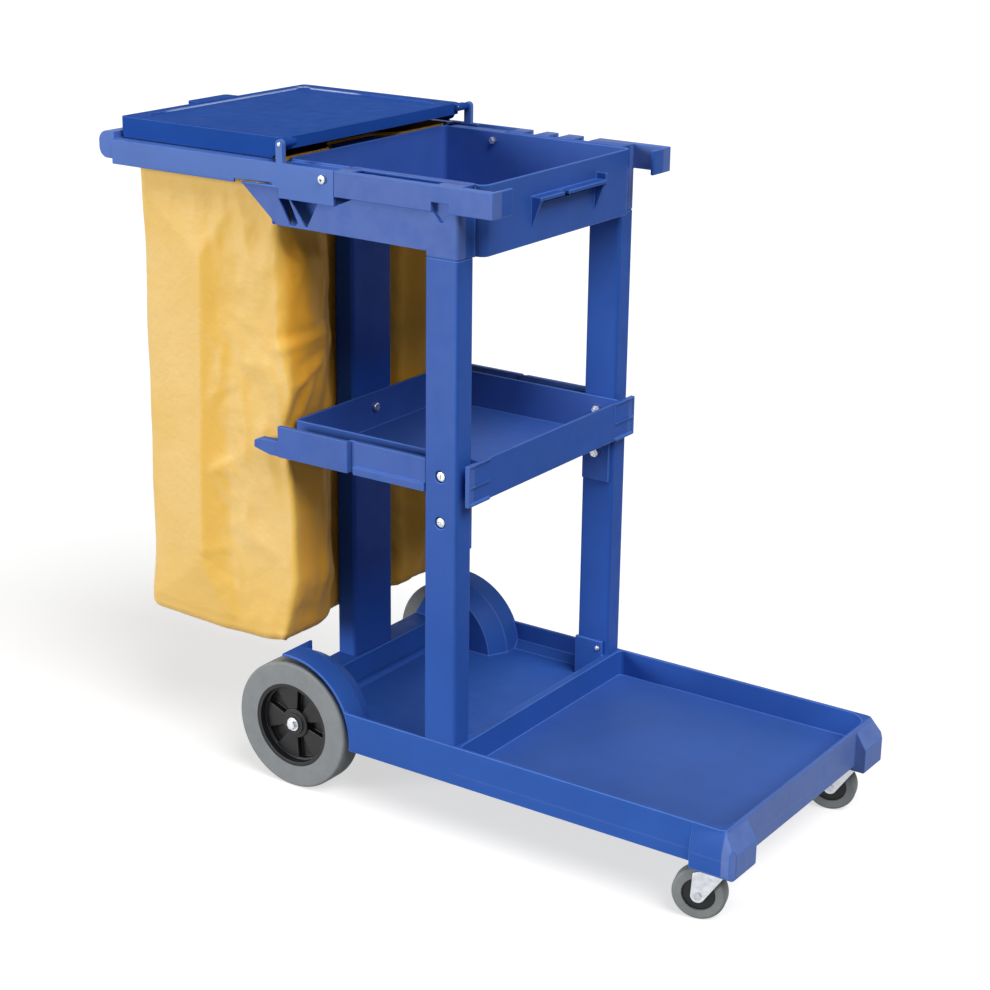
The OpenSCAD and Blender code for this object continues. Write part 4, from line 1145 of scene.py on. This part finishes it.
    def belly(self, place: Vector, z: float) -> float:
        """Measures how far the slack bag swells forward beside the rear post.

        Args:
            place: Place in the plan.
            z: Height.

        Returns:
            The move forward, held back where the shelf is.
        """
        held = self.shelf_hold * math.exp(-((z - self.shelf_z) / self.shelf_half) ** 2)
        reach = smooth_step(*self.bulge_x, place.x) * smooth_step(*self.bulge_y, abs(place.y))
        inside = max(0.0, min(1.0, (self.side_y - abs(place.y)) / self.shoulder_round))
        shoulder = math.sin(math.pi / 2 * inside) * plateau(*self.shoulder_z, z)
        return self.front_bulge * reach * (plateau(*self.bulge_z, z) * (1 - held) + shoulder)

    def foot(self, x: float, z: float) -> Span:
        """Measures how the bag's foot flares to the rear, lifts at the front and dips between.

        Args:
            x: Place along the side.
            z: Height.

        Returns:
            The moves backwards and up.
        """
        flare = self.flare * (1 - smooth_step(*self.flare_z, z)) * smooth_step(*self.flare_x, x)
        lift = self.lift * (1 - smooth_step(*self.lift_z, z)) * smooth_step(*self.lift_x, x)
        middle = math.exp(-((x - self.dip_x) / self.dip_half) ** 2)
        return flare, lift - self.dip * (1 - smooth_step(*self.dip_z, z)) * middle

    def heights(self) -> list[Span]:
        """Lists the rows from the mouth to the rim of the bottom.

        Returns:
            Height and inset of each row.
        """
        depth = self.bottom_z + self.bottom_r - self.top_z
        rows = [(self.top_z + depth * i / self.rows, 0.0) for i in range(self.rows + 1)]
        for i in range(1, self.bottom_steps + 1):
            angle = math.pi / 2 * i / self.bottom_steps
            rows.append((self.bottom_z + self.bottom_r * (1 - math.sin(angle)),
                         self.bottom_r * (1 - math.cos(angle))))
        return rows

    def middle(self) -> Vector:
        """Returns the point on the floor under the bag's middle, in metres."""
        return Vector((MM * (self.rear_x + self.front_x) / 2, 0, 0))

    def bottom(self, work: Work, rim: Ring) -> list[Ring]:
        """Lays the sagging bottom's rings inside its rim.

        Args:
            work: The mesh that the rim is in.
            rim: The rim.

        Returns:
            The rings from the rim inwards.
        """
        middle = self.middle()
        rings: list[Ring] = []
        for share in self.bottom_shares:
            sag = MM * self.bottom_sag * (1 - share) ** 0.7
            ring: Ring = []
            for corner in rim:
                flat = middle.lerp(Vector((corner.co.x, corner.co.y, 0)), share)
                level = corner.co.z * share + (1 - share) * MM * self.bottom_z
                flat.z = level - sag + MM * self.bottom_wave * noise.noise(flat * 14)
                ring.append(work.verts.new(flat))
            rings.append(ring)
        return rings

    def shell(self) -> Piece:
        """Builds the open shell with UVs in metres along the cloth.

        Returns:
            The shell as one sheet with no thickness.
        """
        plan = self.plan()
        count = len(plan)
        pitch = self.perimeter(plan) / count
        first = self.rear_x + self.rear_r - math.pi / 2 * self.rear_r
        work = bmesh.new()
        uv = work.loops.layers.uv.new("cloth")
        rows: list[Ring] = []
        drop = [0.0]
        heights = self.heights()
        sides = list(zip(plan, self.outward(plan)))
        for z, inset in heights:
            ring: Ring = []
            for k, (place, normal) in enumerate(sides):
                point = place + normal * (self.push(place, normal, first + pitch * k, z) - inset)
                flare, lift = self.foot(place.x, z)
                forward = self.belly(place, z) - flare
                ring.append(work.verts.new((MM * (point.x + forward), MM * point.y, MM * (z + lift))))
            rows.append(ring)
        for (last_z, last_inset), (z, inset) in zip(heights, heights[1:]):
            drop.append(drop[-1] + math.hypot(z - last_z, inset - last_inset))
        for ring in self.bottom(work, rows[-1]):
            rows.append(ring)
            drop.append(drop[-1] + self.bottom_pitch)
        centre = work.verts.new(self.middle() + Vector((0, 0, MM * (self.bottom_z - self.bottom_sag))))
        for r, (upper, lower) in enumerate(zip(rows, rows[1:])):
            for k in range(count):
                after = (k + 1) % count
                face = work.faces.new((upper[k], lower[k], lower[after], upper[after]))
                ends = ((k, r), (k, r + 1), (k + 1, r + 1), (k + 1, r))
                for loop, (column, line) in zip(face.loops, ends):
                    loop[uv].uv = (MM * pitch * column, -MM * drop[line])
        for k in range(count):
            work.faces.new((rows[-1][k], centre, rows[-1][(k + 1) % count]))
        bmesh.ops.recalc_face_normals(work, faces=work.faces)
        return from_work("waste_bag", work)

    def stitches(self) -> Piece:
        """Sews two rows of stitches round the hem.

        Returns:
            The stitches as one piece.
        """
        plan = self.plan()
        verts: list[Vector] = []
        edges: list[tuple[int, int]] = []
        inset = self.cloth + self.stitch_inset - self.hem_grow
        for rise in self.stitch_rows:
            first = len(verts)
            for k, (place, normal) in enumerate(zip(plan, self.outward(plan))):
                point = place - normal * inset
                verts.append(Vector((point.x, point.y, self.hem_z + rise)) * MM)
                edges.append((first + k, first + (k + 1) % len(plan)))
        mesh = bpy.data.meshes.new("bag_hem_stitches")
        mesh.from_pydata(verts, edges, [])
        piece = new_object("bag_hem_stitches", mesh)
        graph = GeometryTree("hem_stitch_tree")
        sizes = {"Pitch": self.stitch_pitch, "Length": self.stitch_length, "Radius": self.stitch_r}
        values = {graph.input(name, "NodeSocketFloat"): size * MM for name, size in sizes.items()}
        path = graph.node("GeometryNodeMeshToCurve")
        points = graph.node("GeometryNodeCurveToPoints")
        points.mode = "LENGTH"
        stitch = graph.node("GeometryNodeMeshCylinder")
        stitch.inputs["Vertices"].default_value = 5
        graph.link(graph.given, "Geometry", path, "Mesh")
        graph.link(path, "Curve", points, "Curve")
        graph.link(graph.given, "Pitch", points, "Length")
        graph.link(graph.given, "Length", stitch, "Depth")
        graph.link(graph.given, "Radius", stitch, "Radius")
        graph.scatter(points, stitch, points.outputs["Tangent"], BAG_THREAD)
        graph.run(piece, values)
        mount(piece, Body.CART, Slot.BAG)
        return piece

    def build(self) -> None:
        """Builds the bag and its hem stitches and shows them in place of the plain sack."""
        bag = self.shell()
        bag.data.materials.append(BAG_CLOTH.material())
        thick = bag.modifiers.new("cloth", "SOLIDIFY")
        thick.thickness = self.cloth * MM
        thick.offset = -1
        settle(bag)
        # Stores each vertex's normal x, which the cloth's painted shade reads.
        facing = bag.data.attributes.new(FACING, "FLOAT", "POINT")
        facing.data.foreach_set("value", [vertex.normal.x for vertex in bag.data.vertices])
        mount(bag, Body.CART, Slot.BAG, "bag")
        sewn = self.stitches()
        width = MM * self.perimeter(self.plan())


@dataclass
class Mouldings:
    """The blue mouldings of the cart, with edges rounded as the moulds leave them."""

    edge: float = 1.2 * MM
    lid_edge: float = 0.6 * MM

    def build(self) -> None:
        """Builds every moulding."""
        for node, finish in (("base_deck", DECK_BLUE), ("front_post_left", POST_BLUE),
                             ("front_post_right", POST_BLUE), ("rear_post", BLUE), ("mid_shelf", SHELF_BLUE),
                             ("top_tray", TRAY_BLUE), ("handle_frame", HANDLE_BLUE)):
            SoftenedSolid(node, Body.CART, Slot.BLUE, finish, BLUE_EDGE, self.edge).build()
        SoftenedSolid("lid", Body.LID, Slot.BLUE, LID_BLUE, LID_EDGE, self.lid_edge).build()


@dataclass
class RearWheel:
    """A rear wheel: grey solid tyre on a black spoked hub.

    The tyre is its inner radius, outer radius, width and shoulder, in millimetres.
    """

    side: str
    sign: int
    axle: Point = (-205.5, 205.0, 100.0)
    tyre: Gate = (66, 100, 42, 4.5)
    hub_edge: float = 0.8 * MM

    def build(self) -> None:
        """Builds the tyre and the hub."""
        body = Body(f"wheel_{self.side}")
        x, y, z = self.axle
        SolidTyre(f"rear_tyre_{self.side}", body, Slot.TYRE, TYRE, Vector((x, self.sign * y, z)) * MM,
                  Vector((0, 1, 0)), *(size * MM for size in self.tyre)).build()
        SoftenedSolid(f"rear_hub_{self.side}", body, Slot.HUB, HUB_BLACK, HUB_EDGE, self.hub_edge).build()


@dataclass
class Caster:
    """A swivel caster: pressed fork, stem, axle bolt, black hub and grey tyre, sized like the rear one."""

    side: str
    sign: int
    swivel: Span = (518.0, 200.0)
    turn: float = 16.0
    trail: float = 28.0
    axle_z: float = 38.0
    tyre: Gate = (24, 38, 24, 5)
    hub_edge: float = 0.7 * MM
    metal_edge: float = 0.5 * MM

    def build(self) -> None:
        """Builds the caster's pieces."""
        fork, wheel = Body(f"caster_{self.side}"), Body(f"caster_wheel_{self.side}")
        angle = math.radians(self.turn)
        centre = Vector((self.swivel[0] - self.trail * math.cos(angle),
                         self.sign * self.swivel[1] - self.trail * math.sin(angle), self.axle_z)) * MM
        axis = Vector((-math.sin(angle), math.cos(angle), 0))
        SolidTyre(f"caster_tyre_{self.side}", wheel, Slot.CASTER_TREAD, CASTER_TREAD, centre, axis,
                  *(size * MM for size in self.tyre)).build()
        SoftenedSolid(f"caster_hub_{self.side}", wheel, Slot.HUB, HUB_BLACK, HUB_EDGE, self.hub_edge).build()
        for name, body, slot, finish in (("fork", fork, Slot.ZINC, ZINC), ("axle", fork, Slot.STEEL, STEEL),
                                         ("stem", Body.CART, Slot.STEEL, STEEL)):
            SoftenedSolid(f"caster_{name}_{self.side}", body, slot, finish, None, self.metal_edge).build()


@dataclass
class Fasteners:
    """Bolts, nuts, screws, pins and the axle, with cross-recessed caps on the heads that show."""

    edge: float = 0.35 * MM
    post_x: float = 68.0
    bolt_z: Span = (547.0, 480.0)
    bolt_face_y: float = 223.5
    bolt_r: float = 6.4 * MM
    rear_bolt: Point = (-212.0, 0.0, 544.0)
    arm_bolt: Span = (-128.5, 936.0)
    arm_face_y: float = 232.8
    arm_bolt_r: float = 5.6 * MM
    foot_screw: Span = (82.5, 159.0)
    foot_face_y: float = 178.0
    foot_screw_r: float = 3.7 * MM
    foot_recess: float = 0.9 * MM

    @staticmethod
    def heads(x: float, y: float, *heights: float, way: int = 1) -> list[tuple[Vector, Vector]]:
        """Places heads at some heights on both sides, turned outwards or, with a way of -1, inwards."""
        return [(Vector((x, sign * y, z)) * MM, Vector((0, way * sign, 0)))
                for _, sign in SIDES for z in heights]

    def build(self) -> None:
        """Builds the metal pieces and their caps."""
        for node in ("shelf_bolts", "shelf_nuts", "handle_bolts", "handle_nuts", "foot_screws", "axle_screws",
                     "axle_washers"):
            SoftenedSolid(node, Body.CART, Slot.ZINC, ZINC, None, self.edge).build()
        for node in ("rear_axle", "lid_hinge_pins"):
            SoftenedSolid(node, Body.CART, Slot.STEEL, STEEL, None, self.edge).build()
        bolts = self.heads(self.post_x, self.bolt_face_y, *self.bolt_z)
        bolts.append((Vector(self.rear_bolt) * MM, Vector((1, 0, 0))))
        arms = self.heads(self.arm_bolt[0], self.arm_face_y, self.arm_bolt[1])
        feet = self.heads(self.foot_screw[0], self.foot_face_y, self.foot_screw[1], way=-1)
        ScrewHeads("shelf_bolt_caps", Body.CART, bolts, self.bolt_r).build()
        ScrewHeads("arm_bolt_caps", Body.CART, arms, self.arm_bolt_r).build()
        ScrewHeads("foot_screw_caps", Body.CART, feet, self.foot_screw_r, self.foot_recess).build()


@dataclass(frozen=True)
class Lamp:
    """A soft far lamp: the direction to it, its width in degrees and its light on a white sheet facing it."""

    name: str
    towards: Point
    spread: float
    level: float

    def hang(self) -> None:
        """Hangs the lamp; a level of 1 shows a white sheet as white."""
        light = bpy.data.lights.new(self.name, "SUN")
        light.angle = math.radians(self.spread)
        light.energy = self.level * math.pi
        lamp = bpy.data.objects.new(self.name, light)
        bpy.context.scene.collection.objects.link(lamp)
        lamp.rotation_euler = (-Vector(self.towards)).to_track_quat("-Z", "Y").to_euler()


@dataclass
class Stage:
    """The pale floor, the soft studio lamps and the camera."""

    camera_at: Point = (1719.17, -2521.17, 1482.18)
    azimuth: float = 34.187
    elevation: float = 18.756
    roll: float = 0.769
    focal_pixels: float = 2170.19
    camera_reach: float = 60.0
    fill: float = 0.12
    floor_reach: float = 40.0
    floor_grey: float = 0.5
    floor_glow: float = 0.62
    floor_dull: float = 0.3
    lamps: tuple[Lamp, ...] = (Lamp("key_lamp", (-0.53, -0.83, 0.16), 24, 0.84),
                               Lamp("front_lamp", (0.6, -0.22, 0.77), 40, 0.88))

    def floor(self) -> None:
        """Lays a pale floor that shows white to the camera and in reflections but keeps the cart's shadow."""
        mesh = bpy.data.meshes.new("studio_floor")
        reach = self.floor_reach
        mesh.from_pydata([(-reach, -reach, 0), (reach, -reach, 0), (reach, reach, 0), (-reach, reach, 0)], [],
                         [(0, 1, 2, 3)])
        floor = new_object("studio_floor", mesh)
        shader = Shader("studio_floor")
        shader.set(Base_Color=(*[self.floor_grey] * 3, 1), Roughness=0.9, Specular_IOR_Level=0.1)
        glow = shader.node("ShaderNodeEmission", Color=WHITE, Strength=self.floor_glow)
        bright = shader.tree.nodes.new("ShaderNodeAddShader")
        dull = shader.node("ShaderNodeBsdfDiffuse", Color=(*[self.floor_dull] * 3, 1))
        shader.link(shader.surface.outputs["BSDF"], bright.inputs[0])
        shader.link(glow.outputs["Emission"], bright.inputs[1])
        self.show(shader.tree, dull, bright, "Material Output")
        floor.data.materials.append(shader.material)

    @staticmethod
    def show(tree: Tree, light: Node, seen: Node, output: str) -> None:
        """Shows one shader to camera, glossy and transmission rays, and gives the rays of light another.

        Args:
            tree: The node tree of the floor or the world.
            light: The shader that lights the cart.
            seen: The shader that is seen.
            output: The name of the tree's output node.
        """
        ray = tree.nodes.new("ShaderNodeLightPath")
        rays = [ray.outputs[f"Is {kind} Ray"] for kind in ("Camera", "Glossy", "Transmission")]
        mix = tree.nodes.new("ShaderNodeMixShader")
        tree.links.new(chain(tree, "MAXIMUM", rays), mix.inputs["Fac"])
        tree.links.new(light.outputs[0], mix.inputs[1])
        tree.links.new(seen.outputs[0], mix.inputs[2])
        tree.links.new(mix.outputs["Shader"], tree.nodes[output].inputs["Surface"])

    def world(self) -> None:
        """Fills the shadows faintly and shows white behind the cart."""
        world = bpy.data.worlds.new("studio")
        bpy.context.scene.world = world
        world.use_nodes = True
        tree = world.node_tree
        fill = tree.nodes["Background"]
        white = tree.nodes.new("ShaderNodeBackground")
        for node, strength in ((fill, self.fill), (white, 1.0)):
            node.inputs["Color"].default_value = WHITE
            node.inputs["Strength"].default_value = strength
        self.show(tree, fill, white, "World Output")

    def camera(self) -> None:
        """Sets the camera at the photograph's angle."""
        az, el, roll = (math.radians(v) for v in (self.azimuth, self.elevation, self.roll))
        forward = Vector((-math.sin(az) * math.cos(el), math.cos(az) * math.cos(el), -math.sin(el)))
        right = Vector((math.cos(az), math.sin(az), 0))
        up = right.cross(forward)
        tilted_right = right * math.cos(roll) + up * math.sin(roll)
        tilted_up = up * math.cos(roll) - right * math.sin(roll)
        data = bpy.data.cameras.new("photo_camera")
        data.sensor_width = SENSOR_MM
        data.lens = self.focal_pixels * SENSOR_MM / IMAGE_PIXELS
        data.clip_end = self.camera_reach
        camera = bpy.data.objects.new("photo_camera", data)
        bpy.context.scene.collection.objects.link(camera)
        turn = Matrix((tilted_right, tilted_up, -forward)).transposed().to_4x4()
        camera.matrix_world = Matrix.Translation(Vector(self.camera_at) * MM) @ turn
        bpy.context.scene.camera = camera

    def build(self) -> None:
        """Builds the floor, the lamps, the world and the camera."""
        bpy.context.scene.view_settings.view_transform = "Standard"
        self.floor()
        self.world()
        for lamp in self.lamps:
            lamp.hang()
        self.camera()


def main() -> None:
    """Builds the cart's looks, the stage and the camera."""
    logging.basicConfig(level=logging.INFO, format="%(message)s")
    Stage().build()
    Mouldings().build()
    for side, sign in SIDES:
        RearWheel(side, sign).build()
    for side, sign in SIDES:
        Caster(side, sign).build()
    Fasteners().build()
    WasteBag().build()


if __name__ == "__main__":
    main()
